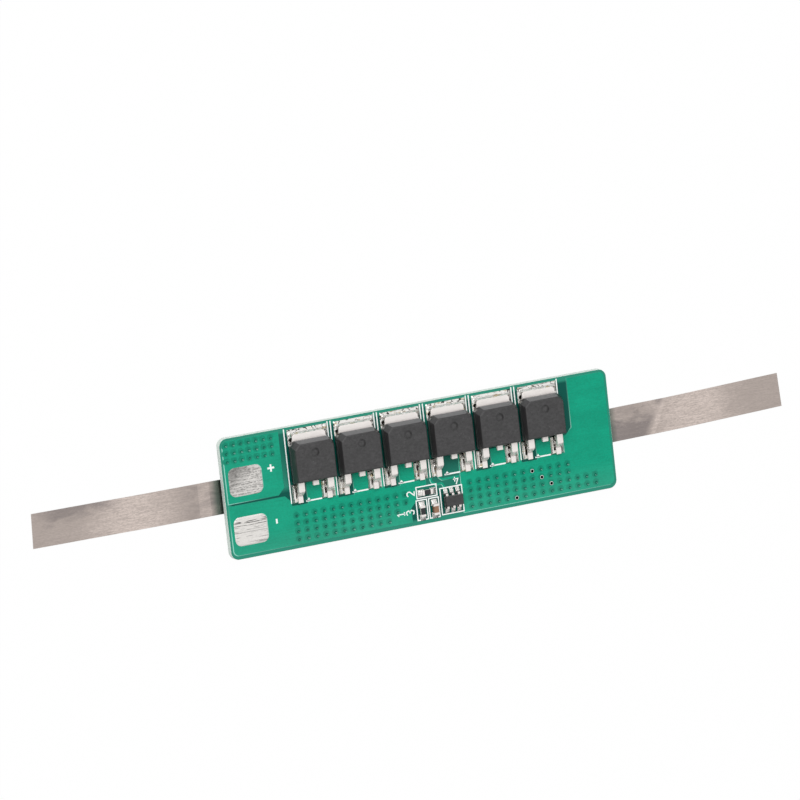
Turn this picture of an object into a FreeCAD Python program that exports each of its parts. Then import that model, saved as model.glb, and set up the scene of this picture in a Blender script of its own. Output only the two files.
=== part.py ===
import FreeCAD, Part
import math
import os

# One-cell battery protection board. Millimetres. +X runs along the board, +Y towards the transistor
# tabs, +Z up from the component side. The origin is on the plane that the two nickel strips rest on,
# at the middle of the board.

V = FreeCAD.Vector

# Board
board_width = 17.75
board_thickness = 1.0
board_corner_radius = 1.2
copper_relief = 0.05
pour_margin = 0.41
lower_pour_margin = 0.6

# Nickel strips and the joints that hold them under the board
strip_width = 5.0
strip_thickness = 0.15
strip_reach = 28.65
strip_overlap = 4.5
strip_joint_height = 0.45
joint_length = 4.0
joint_width = 4.4
joint_foot = 0.3
joint_corner = 0.6
battery_pad_length = 5.5
battery_pad_width = 7.0
battery_pad_radius = 0.8
battery_pad_margin = 0.9
left_strip_offset = 0.335
left_strip_turn = -0.44
left_end_skew = 2.7
right_strip_offset = -0.025
right_strip_turn = 1.67
right_end_skew = 1.4

# Output pads
output_pad_length = 5.15
output_pad_width = 4.2
output_pad_radius = 0.95
output_pad_thickness = 0.11
output_pad_edge = 0.05
output_pad_inset = 0.87
output_pad_pitch = 7.2
output_pad_middle = -1.275

# Copper pours under the mask
split_gap = 0.35
plus_pour_from_pads = 0.6
plus_pour_gap = 4.45
pour_chamfer = 0.95
lead_pour_rise = 0.35
gate_notch_side = 3.55
gate_notch_inner = 1.05
gate_notch_drop = 0.34
middle_pour_from_row = -0.7
right_pour_from_row = 4.8
side_pour_gap = 4.85
side_pour_rise = 0.5
parts_field_top_from_edge = 5.6
parts_field_from_row = -2.45
parts_field_step_from_edge = 3.65
trace_width = 0.25
trace_bend = 0.25
first_trace_columns = (-3.0, -2.9, -2.3, -1.3)
first_trace_above_pad = 0.355
first_trace_end = 0.6
second_trace_columns = (-1.7, -1.2)
second_trace_drop = 0.45

# Vias
via_radius = 0.21
via_floor_radius = 0.1
via_depth = 0.12
via_sides = 6
via_row_pitch = 1.16
field_bottom_row = 1.26
corner_field_pitch = 1.17
corner_field_columns = 7
corner_field_rows = 3
corner_field_side = 0.97
corner_field_inset = 1.14
left_field_pitch = 1.42
left_field_lead = 2.97
left_field_counts = (11, 12, 13, 13)
right_field_pitch = 1.425
right_field_inset = 1.38
right_field_counts = (15, 15, 12, 12)
open_via_places = ((0, 5), (3, 7), (2, 8), (1, 9))
open_via_bore = 0.16
open_via_barrel = 0.2
open_via_ring = 0.29
open_via_ring_thickness = 0.03
open_via_sides = 12

# Transistors
transistor_count = 6
transistor_pitch = 7.28
transistor_from_end = 13.65
transistor_to_end = 11.25
transistor_middle = 3.775
solder_bed = 0.1
body_width = 6.6
body_length = 6.2
body_height = 2.3
body_standoff = 0.1
body_parting = 1.15
body_top_draft = 0.31
body_back_draft = 0.42
body_bottom_draft = 0.12
body_chamfer = 0.75
body_edge_bevel = 0.12
dimple_radius = 0.55
dimple_depth = 0.05
dimple_offset = 1.25
tab_width = 5.2
tab_thickness = 0.5
tab_reach = 0.87
tab_corner = 0.45
tab_inner_end = 0.7
stub_width = 0.9
stub_reach = 0.6
stub_riser = 0.9
lead_pitch = 2.286
lead_thickness = 0.5
lead_shoulder_width = 0.95
lead_foot_width = 0.76
lead_underside = 0.87
lead_reach = 2.96
lead_knee = 1.4
lead_foot_length = 1.25
lead_bend = 0.22
lead_root = 1.0

# Transistor pads and their solder
drain_pad_width = 6.2
drain_pad_margin = 0.45
drain_pad_inner = 2.0
lead_pad_width = 2.15
lead_pad_length = 2.85
lead_pad_end = 0.12
fillet_spread = 0.5
fillet_height = 0.38
fillet_top = 0.06
tab_fillet_spread = 0.4
tab_fillet_height = 0.4

# Control chip
chip_from_row = 3.1
chip_from_edge = 2.8
chip_length = 2.9
chip_width = 1.6
chip_height = 1.1
chip_standoff = 0.08
chip_parting = 0.6
chip_draft = 0.08
chip_edge_bevel = 0.05
chip_pin_pitch = 0.95
chip_pin_columns = 3
chip_pin_width = 0.4
chip_pin_thickness = 0.15
chip_span = 2.8
chip_pin_foot = 0.42
chip_pin_root = 0.3
chip_pad_length = 0.95
chip_pad_width = 0.6
chip_pad_heel = 0.1
small_bed = 0.06

# Chip resistors and capacitor
chip_part_length = 1.6
chip_part_width = 0.8
resistor_height = 0.38
resistor_film_length = 1.0
resistor_film_thickness = 0.05
capacitor_height = 0.8
cap_length = 0.32
cap_wall = 0.04
small_pad_reach = 0.62
small_pad_width = 0.95
small_fillet_height = 0.3
small_part_from_edge = 1.98
resistor_one_from_row = -1.73
capacitor_from_row = 0.23
resistor_two_from_row = -0.73
resistor_two_from_edge = 4.64

# Places worked out from the sizes above
row_length = transistor_pitch * (transistor_count - 1)
board_length = transistor_from_end + row_length + transistor_to_end
board_bottom = strip_thickness + strip_joint_height + copper_relief
board_top = board_bottom + board_thickness
pour_top = board_top + copper_relief
seat = board_top + solder_bed
half_length = board_length / 2
half_width = board_width / 2
pour_left = -half_length + pour_margin
pour_right = half_length - pour_margin
pour_bottom = -half_width + lower_pour_margin
pour_upper = half_width - pour_margin
plus_pour_bottom = output_pad_middle + plus_pour_from_pads
body_front = transistor_middle - body_length / 2
body_back = transistor_middle + body_length / 2
transistor_first = -half_length + transistor_from_end
transistor_centres = [transistor_first + transistor_pitch * k for k in range(transistor_count)]
row_middle = transistor_first + row_length / 2
lead_sides = {"gate": -lead_pitch, "source": lead_pitch}
lead_end = body_front - lead_reach
lead_pad_middle = lead_end - lead_pad_end + lead_pad_length / 2
lead_pour_top = body_front + lead_pour_rise
middle_pour_right = row_middle + middle_pour_from_row
right_pour_left = row_middle + right_pour_from_row
parts_field_left = row_middle + parts_field_from_row
parts_field_top = -half_width + parts_field_top_from_edge
parts_field_step = -half_width + parts_field_step_from_edge
chip_x = row_middle + chip_from_row
chip_y = -half_width + chip_from_edge
small_part_y = -half_width + small_part_from_edge
resistor_one_x = row_middle + resistor_one_from_row
capacitor_x = row_middle + capacitor_from_row
resistor_two_x = row_middle + resistor_two_from_row
resistor_two_y = -half_width + resistor_two_from_edge
left_field_x = transistor_first - left_field_lead
right_field_x = right_pour_left + right_field_inset


def place_xy(a, b):
    return V(a, b, 0)


def place_yz(a, b):
    return V(0, a, b)


def outline(corners, place=place_xy):
    """Closed wire through the corners (a, b, radius), each rounded by its own radius."""
    count = len(corners)
    marks = []
    for i, (a, b, radius) in enumerate(corners):
        here = place(a, b)
        last = corners[i - 1]
        following = corners[(i + 1) % count]
        back = (place(last[0], last[1]) - here).normalize()
        ahead = (place(following[0], following[1]) - here).normalize()
        if radius == 0:
            marks.append((here, None, here))
            continue
        half_angle = back.getAngle(ahead) / 2
        run = radius / math.tan(half_angle)
        middle = here + (back + ahead).normalize() * (radius / math.sin(half_angle) - radius)
        marks.append((here + back * run, middle, here + ahead * run))
    edges = []
    for i, (start, middle, end) in enumerate(marks):
        if middle is not None:
            edges.append(Part.Arc(start, middle, end).toShape())
        next_start = marks[(i + 1) % count][0]
        if end.distanceToPoint(next_start) > 1e-6:
            edges.append(Part.LineSegment(end, next_start).toShape())
    return Part.Wire(edges)


def rectangle(x, y, length, width, radius=0.0):
    """Corners of a rectangle about its middle, for outline()."""
    a = length / 2
    b = width / 2
    return [(x - a, y - b, radius), (x + a, y - b, radius), (x + a, y + b, radius), (x - a, y + b, radius)]


def plate(corners, low, high):
    """Flat plate with the given plan, from height low to height high."""
    wire = outline(corners)
    wire.translate(V(0, 0, low))
    return Part.Face(wire).extrude(V(0, 0, high - low))


def box(x_low, x_high, y_low, y_high, z_low, z_high):
    return Part.makeBox(x_high - x_low, y_high - y_low, z_high - z_low, V(x_low, y_low, z_low))


def taper(low_corners, low, high_corners, high):
    """Block with flat sides between two sharp-cornered plans at two heights."""
    bottom = [V(a, b, low) for a, b, _ in low_corners]
    top = [V(a, b, high) for a, b, _ in high_corners]
    rings = [bottom[::-1], top]
    for i in range(len(bottom)):
        j = (i + 1) % len(bottom)
        rings.append([bottom[i], bottom[j], top[j], top[i]])
    faces = [Part.Face(Part.makePolygon(ring + ring[:1])) for ring in rings]
    shell = Part.makeShell(faces)
    shell.sewShape()
    return Part.makeSolid(shell)


def side_profile(corners, x, width):
    """Plate seen from the side: a plan in Y and Z with a width along X."""
    wire = outline(corners, place_yz)
    wire.translate(V(x - width / 2, 0, 0))
    return Part.Face(wire).extrude(V(width, 0, 0))


def union(shapes):
    return shapes[0].multiFuse(shapes[1:]).removeSplitter()


def ease_top(solid, size):
    """Bevel the edges of the highest flat face."""
    top = solid.BoundBox.ZMax
    edges = [e for e in solid.Edges if e.BoundBox.ZMin > top - 1e-4]
    return solid.makeChamfer(size, edges)


def ring_points(x, y, radius, sides):
    """Corners of a regular polygon about (x, y), for outline()."""
    turns = [2 * math.pi * (k + 0.5) / sides for k in range(sides)]
    return [(x + radius * math.cos(t), y + radius * math.sin(t), 0) for t in turns]


def save(name, shape):
    shape.exportStep("parts/" + name + ".step")


# Via places, as lists of (x, y)
def via_rows(first_x, pitch, counts):
    places = []
    for row, count in enumerate(counts):
        y = -half_width + field_bottom_row + via_row_pitch * row
        places.extend((first_x + pitch * column, y) for column in range(count))
    return places


def corner_vias():
    places = []
    for row in range(corner_field_rows):
        for column in range(corner_field_columns):
            x = -half_length + corner_field_side + corner_field_pitch * column
            places.append((x, half_width - corner_field_inset - corner_field_pitch * row))
    return places


def open_vias():
    places = []
    for row, column in open_via_places:
        y = -half_width + field_bottom_row + via_row_pitch * row
        places.append((right_field_x + right_field_pitch * column, y))
    return places


# Copper pours, which show as low flat steps under the green mask
def gate_notch(centre):
    """The bare square round a gate pad, cut into the pour's upper edge."""
    left = centre - gate_notch_side
    right = centre - gate_notch_inner
    return box(left, right, lead_end - gate_notch_drop, body_back, board_top, pour_top)


def plus_pour():
    right = transistor_first - plus_pour_gap
    low = plus_pour_bottom
    corners = [
        (pour_left, low, 0),
        (right - pour_chamfer, low, 0),
        (right, low + pour_chamfer, 0),
        (right, pour_upper, 0),
        (pour_left, pour_upper, board_corner_radius - pour_margin),
    ]
    return plate(corners, board_top, pour_top)


def minus_pour():
    top = plus_pour_bottom - split_gap
    step = transistor_first - gate_notch_side
    corners = [
        (pour_left, pour_bottom, board_corner_radius - pour_margin),
        (parts_field_left - pour_chamfer, pour_bottom, 0),
        (parts_field_left - pour_chamfer, parts_field_step - pour_chamfer, 0),
        (parts_field_left, parts_field_step, 0),
        (parts_field_left, parts_field_top, 0),
        (middle_pour_right, parts_field_top, 0),
        (middle_pour_right, lead_pour_top, 0),
        (step, lead_pour_top, 0),
        (step, top - pour_chamfer, 0),
        (step - pour_chamfer, top, 0),
        (pour_left, top, 0),
    ]
    pour = plate(corners, board_top, pour_top)
    for centre in transistor_centres:
        if centre < middle_pour_right:
            pour = pour.cut(gate_notch(centre))
    return pour


def right_pour():
    side = transistor_centres[-1] + side_pour_gap
    shoulder = body_front + side_pour_rise
    corners = [
        (right_pour_left, pour_bottom, 0),
        (pour_right, pour_bottom, board_corner_radius - pour_margin),
        (pour_right, pour_upper, board_corner_radius - pour_margin),
        (side, pour_upper, 0),
        (side, shoulder, 0),
        (side - pour_chamfer, shoulder - pour_chamfer, 0),
        (right_pour_left, shoulder - pour_chamfer, 0),
    ]
    pour = plate(corners, board_top, pour_top)
    for centre in transistor_centres:
        if centre > right_pour_left:
            pour = pour.cut(gate_notch(centre))
    return pour


def trace(points):
    """Thin raised track along a bent line of points."""
    left = []
    right = []
    for i, (x, y) in enumerate(points):
        before = points[max(i - 1, 0)]
        after = points[min(i + 1, len(points) - 1)]
        along = V(after[0] - before[0], after[1] - before[1], 0).normalize()
        across = V(-along.y, along.x, 0) * (trace_width / 2)
        bend = trace_bend if 0 < i < len(points) - 1 else 0
        left.append((x + across.x, y + across.y, bend))
        right.append((x - across.x, y - across.y, bend))
    return plate(left + right[::-1], board_top, pour_top)


def gate_traces():
    """Two tracks from the chip's pins towards the gates, in the bare field above the chip."""
    top = lead_end - lead_pad_end
    upper = chip_y + chip_span / 2
    field_edge = right_pour_left - trace_width
    level = resistor_two_y + small_pad_width / 2 + first_trace_above_pad
    heights = (top, (top + level) / 2, level, level)
    first = [(chip_x + a, b) for a, b in zip(first_trace_columns, heights)]
    first.append((chip_x - chip_pin_pitch, upper + first_trace_end))
    lower = top - second_trace_drop
    second = [(chip_x + a, b) for a, b in zip(second_trace_columns, (top, lower))]
    second.append((field_edge, lower))
    return [trace(first), trace(second)]


def battery_pad_x(side):
    return side * (half_length - battery_pad_margin - battery_pad_length / 2)


def circuit_board():
    """Laminate with its masked copper, drilled for the open vias and dimpled at the tented ones."""
    base = plate(rectangle(0, 0, board_length, board_width, board_corner_radius), board_bottom, board_top)
    inset = 2 * pour_margin
    under = rectangle(0, 0, board_length - inset, board_width - inset, board_corner_radius - pour_margin)
    under_pour = plate(under, board_bottom - copper_relief, board_bottom)
    board = union([base, under_pour, plus_pour(), minus_pour(), right_pour()] + gate_traces())
    openings = []
    for y in output_pad_rows():
        openings.append(plate(output_pad_plan(y), board_top, pour_top))
    for side in (-1, 1):
        openings.append(plate(battery_pad_plan(side), board_bottom - copper_relief, board_bottom))
    for centre in transistor_centres:
        for x in (centre - lead_pitch, centre + lead_pitch):
            openings.append(plate(lead_pad_plan(x), board_top, pour_top))
    opened = open_vias()
    tented = corner_vias() + via_rows(left_field_x, left_field_pitch, left_field_counts)
    tented += via_rows(right_field_x, right_field_pitch, right_field_counts)
    for x, y in tented:
        if (x, y) in opened:
            openings.append(plate(ring_points(x, y, open_via_barrel, open_via_sides), 0, 2 * board_top))
            continue
        mouth = ring_points(x, y, via_radius, via_sides)
        floor = ring_points(x, y, via_floor_radius, via_sides)
        openings.append(taper(floor, pour_top - via_depth, mouth, pour_top))
    return board.cut(openings)


def via_rings():
    """Plated barrels of the open vias, with a flat ring at each face."""
    low = board_bottom - copper_relief
    thick = open_via_ring_thickness
    barrels = []
    for x, y in open_vias():
        rim = ring_points(x, y, open_via_ring, open_via_sides)
        barrel = ring_points(x, y, open_via_barrel, open_via_sides)
        tube = plate(barrel, low - thick, pour_top + thick)
        rings = [plate(rim, pour_top, pour_top + thick), plate(rim, low - thick, low)]
        bore = plate(ring_points(x, y, open_via_bore, open_via_sides), 0, 2 * board_top)
        barrels.append(union([tube] + rings).cut(bore))
    return Part.makeCompound(barrels)


# Pads
def output_pad_rows():
    return (output_pad_middle + output_pad_pitch / 2, output_pad_middle - output_pad_pitch / 2)


def output_pad_plan(y):
    x = -half_length + output_pad_inset + output_pad_length / 2
    return rectangle(x, y, output_pad_length, output_pad_width, output_pad_radius)


def output_pad(y):
    pad = plate(output_pad_plan(y), board_top, board_top + output_pad_thickness)
    return ease_top(pad, output_pad_edge)


def battery_pad_plan(side):
    return rectangle(battery_pad_x(side), 0, battery_pad_length, battery_pad_width, battery_pad_radius)


def battery_pad(side):
    return plate(battery_pad_plan(side), board_bottom - copper_relief, board_bottom)


def lead_pad_plan(x):
    return rectangle(x, lead_pad_middle, lead_pad_width, lead_pad_length)


# Nickel strips
def turned(shape, side, offset, turn):
    """Move a strip's shape out to its board edge and turn it there."""
    shape.rotate(V(0, 0, 0), V(0, 0, 1), turn)
    shape.translate(V(side * half_length, offset, 0))
    return shape


def nickel_strip(side, offset, turn, skew):
    lean = math.tan(math.radians(skew)) * strip_width / 2
    outer = side * strip_reach
    inner = -side * strip_overlap
    half = strip_width / 2
    corners = [
        (inner, -half, 0),
        (outer + side * lean, -half, 0),
        (outer - side * lean, half, 0),
        (inner, half, 0),
    ]
    return turned(plate(corners, 0, strip_thickness), side, offset, turn)


def cut_rectangle(x, length, width):
    """Corners of a rectangle on the X axis with its four corners cut off."""
    a = length / 2
    b = width / 2
    cut = joint_corner
    return [
        (x - a + cut, -b, 0),
        (x + a - cut, -b, 0),
        (x + a, -b + cut, 0),
        (x + a, b - cut, 0),
        (x + a - cut, b, 0),
        (x - a + cut, b, 0),
        (x - a, b - cut, 0),
        (x - a, -b + cut, 0),
    ]


def strip_joint(side, offset, turn):
    """Solder between a strip and its pad, wider where it meets the pad."""
    x = battery_pad_x(side) - side * half_length
    foot = cut_rectangle(x, joint_length + joint_foot, joint_width + joint_foot)
    neck = cut_rectangle(x, joint_length, joint_width)
    top = strip_thickness + strip_joint_height
    return turned(taper(neck, strip_thickness, foot, top), side, offset, turn)


# Transistors
def body_plan(centre, inset, back_inset):
    """Plan of the moulded body, with its two tab-side corners cut off."""
    x = body_width / 2 - inset
    low = body_front + inset
    high = body_back - back_inset
    cut = body_chamfer
    return [
        (centre - x, low, 0),
        (centre + x, low, 0),
        (centre + x, high - cut, 0),
        (centre + x - cut, high, 0),
        (centre - x + cut, high, 0),
        (centre - x, high - cut, 0),
    ]


def transistor_body(centre, metal):
    """Moulded in two halves that draft away from the parting line, with the metal set into it."""
    parting = seat + body_parting
    widest = body_plan(centre, 0, 0)
    under = body_plan(centre, body_bottom_draft, body_bottom_draft)
    over = body_plan(centre, body_top_draft, body_back_draft)
    lower = taper(under, seat + body_standoff, widest, parting)
    upper = taper(widest, parting, over, seat + body_height)
    body = lower.fuse(ease_top(upper, body_edge_bevel))
    middle = V(centre, transistor_middle + dimple_offset, seat + body_height - dimple_depth)
    body = body.cut(Part.makeCylinder(dimple_radius, 2 * dimple_depth, middle))
    return body.cut(metal)


def drain_tab(centre):
    """Flat drain plate, with its cut-off middle lead raised to the level of the other leads."""
    low = body_front + tab_inner_end
    high = body_back + tab_reach
    half = tab_width / 2
    corners = [
        (centre - half, low, 0),
        (centre + half, low, 0),
        (centre + half, high, tab_corner),
        (centre - half, high, tab_corner),
    ]
    tab = plate(corners, seat, seat + tab_thickness)
    level = seat + lead_underside
    riser_back = low + stub_riser
    profile = [
        (low, seat + tab_thickness, 0),
        (riser_back, seat + tab_thickness, 0),
        (riser_back, level + lead_thickness, lead_bend),
        (body_front - stub_reach, level + lead_thickness, 0),
        (body_front - stub_reach, level, 0),
        (low, level, 0),
    ]
    return union([tab, side_profile(profile, centre, stub_width)])


def transistor_lead(x):
    """Gull-wing lead, wide at its shoulder and narrow at its foot."""
    level = seat + lead_underside
    knee = body_front - lead_knee
    toe_top = seat + lead_thickness
    foot_start = lead_end + lead_foot_length
    profile = [
        (body_front + lead_root, level, 0),
        (body_front + lead_root, level + lead_thickness, 0),
        (knee, level + lead_thickness, lead_bend + lead_thickness / 2),
        (foot_start - lead_bend, toe_top, lead_bend),
        (lead_end, toe_top, 0),
        (lead_end, seat, 0),
        (foot_start + lead_bend, seat, lead_bend + lead_thickness / 2),
        (knee + lead_thickness, level, lead_bend),
    ]
    bent = side_profile(profile, x, lead_shoulder_width)
    shoulder = knee + lead_bend
    wide = lead_shoulder_width / 2
    narrow = lead_foot_width / 2
    plan = [
        (x - wide, body_front + lead_root, 0),
        (x - wide, shoulder, 0),
        (x - narrow, shoulder - lead_bend, 0),
        (x - narrow, lead_end, 0),
        (x + narrow, lead_end, 0),
        (x + narrow, shoulder - lead_bend, 0),
        (x + wide, shoulder, 0),
        (x + wide, body_front + lead_root, 0),
    ]
    return bent.common(plate(plan, seat, seat + body_height))


def lead_joint(x, lead):
    """Tinned pad with solder drawn up round the lead's foot."""
    pad = plate(lead_pad_plan(x), board_top, seat)
    foot_y = lead_end + lead_foot_length / 2
    spread = 2 * fillet_spread
    wide = rectangle(x, foot_y, lead_foot_width + spread, lead_foot_length + spread / 2)
    narrow = rectangle(x, foot_y, lead_foot_width + fillet_top, lead_foot_length + fillet_top)
    bead = taper(wide, seat, narrow, seat + fillet_height)
    bead = bead.common(plate(lead_pad_plan(x), seat, seat + body_height))
    return pad.fuse(bead).cut(lead).removeSplitter()


def drain_joint(centre, tab):
    """Tinned drain pad, with solder drawn up round the end of the tab."""
    high = half_width - drain_pad_margin
    low = body_front + drain_pad_inner
    pad_plan = rectangle(centre, (high + low) / 2, drain_pad_width, high - low)
    pad = plate(pad_plan, board_top, seat)
    start = body_back + fillet_top
    end = body_back + tab_reach
    half = tab_width / 2
    bead_plans = []
    for spread in (tab_fillet_spread, fillet_top):
        side = half + spread
        bead_plans.append([
            (centre - side, start, 0),
            (centre + side, start, 0),
            (centre + side, end + spread - tab_corner, 0),
            (centre + side - tab_corner, end + spread, 0),
            (centre - side + tab_corner, end + spread, 0),
            (centre - side, end + spread - tab_corner, 0),
        ])
    bead = taper(bead_plans[0], seat, bead_plans[1], seat + tab_fillet_height)
    return pad.fuse(bead).cut(tab).removeSplitter()


def save_transistor(number, centre):
    name = "transistor_" + str(number)
    tab = drain_tab(centre)
    leads = {side: transistor_lead(centre + shift) for side, shift in lead_sides.items()}
    save(name + "_body", transistor_body(centre, [tab] + list(leads.values())))
    save(name + "_drain_tab", tab)
    joints = [drain_joint(centre, tab)]
    for side, shift in lead_sides.items():
        save(name + "_" + side + "_lead", leads[side])
        joints.append(lead_joint(centre + shift, leads[side]))
    save(name + "_solder", Part.makeCompound(joints))


# Control chip
def chip_pin(x, side):
    """One gull-wing pin; side is +1 or -1, the long edge of the chip it leaves from."""
    floor = board_top + small_bed
    edge = chip_width / 2
    tip = chip_span / 2
    thick = chip_pin_thickness
    level = board_top + chip_parting - thick / 2
    heel = tip - chip_pin_foot
    profile = [
        (edge - chip_pin_root, level, 0),
        (edge - chip_pin_root, level + thick, 0),
        (heel + thick, level + thick, 0),
        (heel + thick, floor + thick, 0),
        (tip, floor + thick, 0),
        (tip, floor, 0),
        (heel, floor, 0),
        (heel, level, 0),
    ]
    corners = [(chip_y + side * a, b, radius) for a, b, radius in profile]
    return side_profile(corners, x, chip_pin_width)


def chip_pin_places():
    columns = [chip_x + chip_pin_pitch * (k - (chip_pin_columns - 1) / 2) for k in range(chip_pin_columns)]
    return [(x, side) for side in (1, -1) for x in columns]


def chip_body(pins):
    floor = board_top + chip_standoff
    parting = board_top + chip_parting
    top = board_top + chip_height
    outer = rectangle(chip_x, chip_y, chip_length, chip_width)
    inner = rectangle(chip_x, chip_y, chip_length - 2 * chip_draft, chip_width - 2 * chip_draft)
    upper = ease_top(taper(outer, parting, inner, top), chip_edge_bevel)
    return taper(inner, floor, outer, parting).fuse(upper).cut(pins)


def chip_joint(x, side, pin):
    """Tinned pad with a low solder wedge at the pin's toe."""
    tip = chip_span / 2
    start = tip - chip_pin_foot - chip_pad_heel
    middle = chip_y + side * (start + chip_pad_length / 2)
    pad = plate(rectangle(x, middle, chip_pad_width, chip_pad_length), board_top, board_top + small_bed)
    low = board_top + small_bed
    ramp_start = tip - chip_pin_foot / 2
    ramp_end = start + chip_pad_length
    profile = [(ramp_start, low, 0), (ramp_end, low, 0), (ramp_start, low + chip_pin_foot / 2, 0)]
    corners = [(chip_y + side * a, b, radius) for a, b, radius in profile]
    wedge = side_profile(corners, x, chip_pad_width)
    return pad.fuse(wedge).cut(pin)


def save_chip():
    pins = [chip_pin(x, side) for x, side in chip_pin_places()]
    joints = [chip_joint(x, side, pin) for (x, side), pin in zip(chip_pin_places(), pins)]
    save("control_chip_body", chip_body(pins))
    save("control_chip_pins", Part.makeCompound(pins))
    save("control_chip_solder", Part.makeCompound(joints))


# Chip resistors and capacitor, drawn along X about the origin and then turned and moved
def set_down(shape, x, y, turn):
    shape.rotate(V(0, 0, 0), V(0, 0, 1), turn)
    shape.translate(V(x, y, board_top + small_bed))
    return shape


def end_caps(height):
    """Metal caps wrapped round both ends."""
    half = chip_part_length / 2
    wide = chip_part_width / 2
    caps = []
    for side in (-1, 1):
        x_pair = sorted((side * half, side * (half - cap_length)))
        outer = box(x_pair[0], x_pair[1], -wide, wide, 0, height)
        inner = box(-half + cap_wall, half - cap_wall, -wide + cap_wall, wide - cap_wall, cap_wall, height - cap_wall)
        caps.append(outer.cut(inner))
    return Part.makeCompound(caps)


def chip_core(height):
    """Ceramic block that the caps fit over."""
    half = chip_part_length / 2 - cap_wall
    wide = chip_part_width / 2 - cap_wall
    return box(-half, half, -wide, wide, cap_wall, height - cap_wall)


def end_joints():
    """Tinned pads with a solder ramp up each end cap."""
    half = chip_part_length / 2
    joints = []
    for side in (-1, 1):
        start = half - cap_length
        end = half + small_pad_reach
        x_pair = sorted((side * start, side * end))
        pad = box(x_pair[0], x_pair[1], -small_pad_width / 2, small_pad_width / 2, -small_bed, 0)
        points = [(side * half, 0), (side * end, 0), (side * half, small_fillet_height), (side * half, 0)]
        wire = Part.makePolygon([V(a, -chip_part_width / 2, b) for a, b in points])
        ramp = Part.Face(wire).extrude(V(0, chip_part_width, 0))
        joints.append(pad.fuse(ramp))
    return Part.makeCompound(joints)


def resistor_film(height):
    """Dark protective glass on top of the ceramic, between the caps."""
    half = resistor_film_length / 2
    wide = chip_part_width / 2 - cap_wall
    half = min(half, chip_part_length / 2 - cap_length)
    return box(-half, half, -wide, wide, height - cap_wall, height - cap_wall + resistor_film_thickness)


def save_resistor(name, x, y, turn):
    save(name + "_body", set_down(chip_core(resistor_height), x, y, turn))
    save(name + "_film", set_down(resistor_film(resistor_height), x, y, turn))
    save(name + "_end_caps", set_down(end_caps(resistor_height), x, y, turn))
    save(name + "_solder", set_down(end_joints(), x, y, turn))


def save_capacitor(name, x, y, turn):
    save(name + "_body", set_down(chip_core(capacitor_height), x, y, turn))
    save(name + "_end_caps", set_down(end_caps(capacitor_height), x, y, turn))
    save(name + "_solder", set_down(end_joints(), x, y, turn))


os.makedirs("parts", exist_ok=True)

save("circuit_board", circuit_board())
save("via_rings", via_rings())
for pad_name, pad_y in zip(("plus", "minus"), output_pad_rows()):
    save("output_pad_" + pad_name, output_pad(pad_y))
for strip_name, strip_side, strip_offset, strip_turn, end_skew in (
    ("left", -1, left_strip_offset, left_strip_turn, left_end_skew),
    ("right", 1, right_strip_offset, right_strip_turn, right_end_skew),
):
    save("battery_pad_" + strip_name, battery_pad(strip_side))
    save("strip_joint_" + strip_name, strip_joint(strip_side, strip_offset, strip_turn))
    save("nickel_strip_" + strip_name, nickel_strip(strip_side, strip_offset, strip_turn, end_skew))
for place, centre_x in enumerate(transistor_centres):
    save_transistor(place + 1, centre_x)
save_chip()
save_resistor("resistor_1", resistor_one_x, small_part_y, 90)
save_resistor("resistor_2", resistor_two_x, resistor_two_y, 0)
save_capacitor("capacitor_1", capacitor_x, small_part_y, 90)
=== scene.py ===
import math

import bmesh
import bpy
from mathutils import Matrix, Vector, noise


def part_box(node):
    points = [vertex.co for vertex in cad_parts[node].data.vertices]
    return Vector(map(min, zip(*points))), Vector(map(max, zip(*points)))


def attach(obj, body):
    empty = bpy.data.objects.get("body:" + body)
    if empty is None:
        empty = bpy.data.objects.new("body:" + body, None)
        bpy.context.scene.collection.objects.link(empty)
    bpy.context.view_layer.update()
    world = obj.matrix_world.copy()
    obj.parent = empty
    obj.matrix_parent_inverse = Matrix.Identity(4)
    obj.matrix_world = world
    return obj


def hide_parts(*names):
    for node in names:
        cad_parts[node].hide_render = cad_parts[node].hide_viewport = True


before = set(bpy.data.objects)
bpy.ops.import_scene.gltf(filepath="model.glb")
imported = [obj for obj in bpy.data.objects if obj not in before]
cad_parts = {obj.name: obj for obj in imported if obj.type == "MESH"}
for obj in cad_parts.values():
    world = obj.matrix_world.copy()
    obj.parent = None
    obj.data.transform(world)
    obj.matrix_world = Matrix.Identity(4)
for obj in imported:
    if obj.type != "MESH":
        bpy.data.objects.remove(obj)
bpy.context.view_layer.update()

bl_info = {
    "name": "Battery management board",
    "version": (1, 0, 0),
    "blender": (4, 5, 0),
    "location": "View3D > Sidebar > Cell board",
    "description": "Dresses a one-cell battery management board with its finishes and fine shapes",
    "category": "Object",
}

MM = 0.001
ROOT = "root"
TRANSISTORS = [f"transistor_{number}" for number in range(1, 7)]
LEADS = ("gate", "source")


def linear(code):
    """The linear colour that a socket takes, from an sRGB hex colour."""
    parts = [int(code[i:i + 2], 16) / 255 for i in (1, 3, 5)]
    return tuple(p / 12.92 if p <= 0.04045 else ((p + 0.055) / 1.055) ** 2.4 for p in parts)


def low(node):
    """Lowest corner of a CAD node, in millimetres."""
    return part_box(node)[0] / MM


def high(node):
    """Highest corner of a CAD node, in millimetres."""
    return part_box(node)[1] / MM


# Where the right strip's crease meets y = 0, in millimetres
CREASE = 39.1
# The side that the copper shoulders with a painted highlight face
HIGHLIT_SIDE = Vector((-0.9, -0.45, 0))
# The small parts lie within this reach of this place along the board, in millimetres
PARTS_MIDDLE, PARTS_REACH = 2.0, 6.0
# How near a height in the CAD mesh has to be to count as the same, in millimetres
SAME_HEIGHT = 0.003
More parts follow.
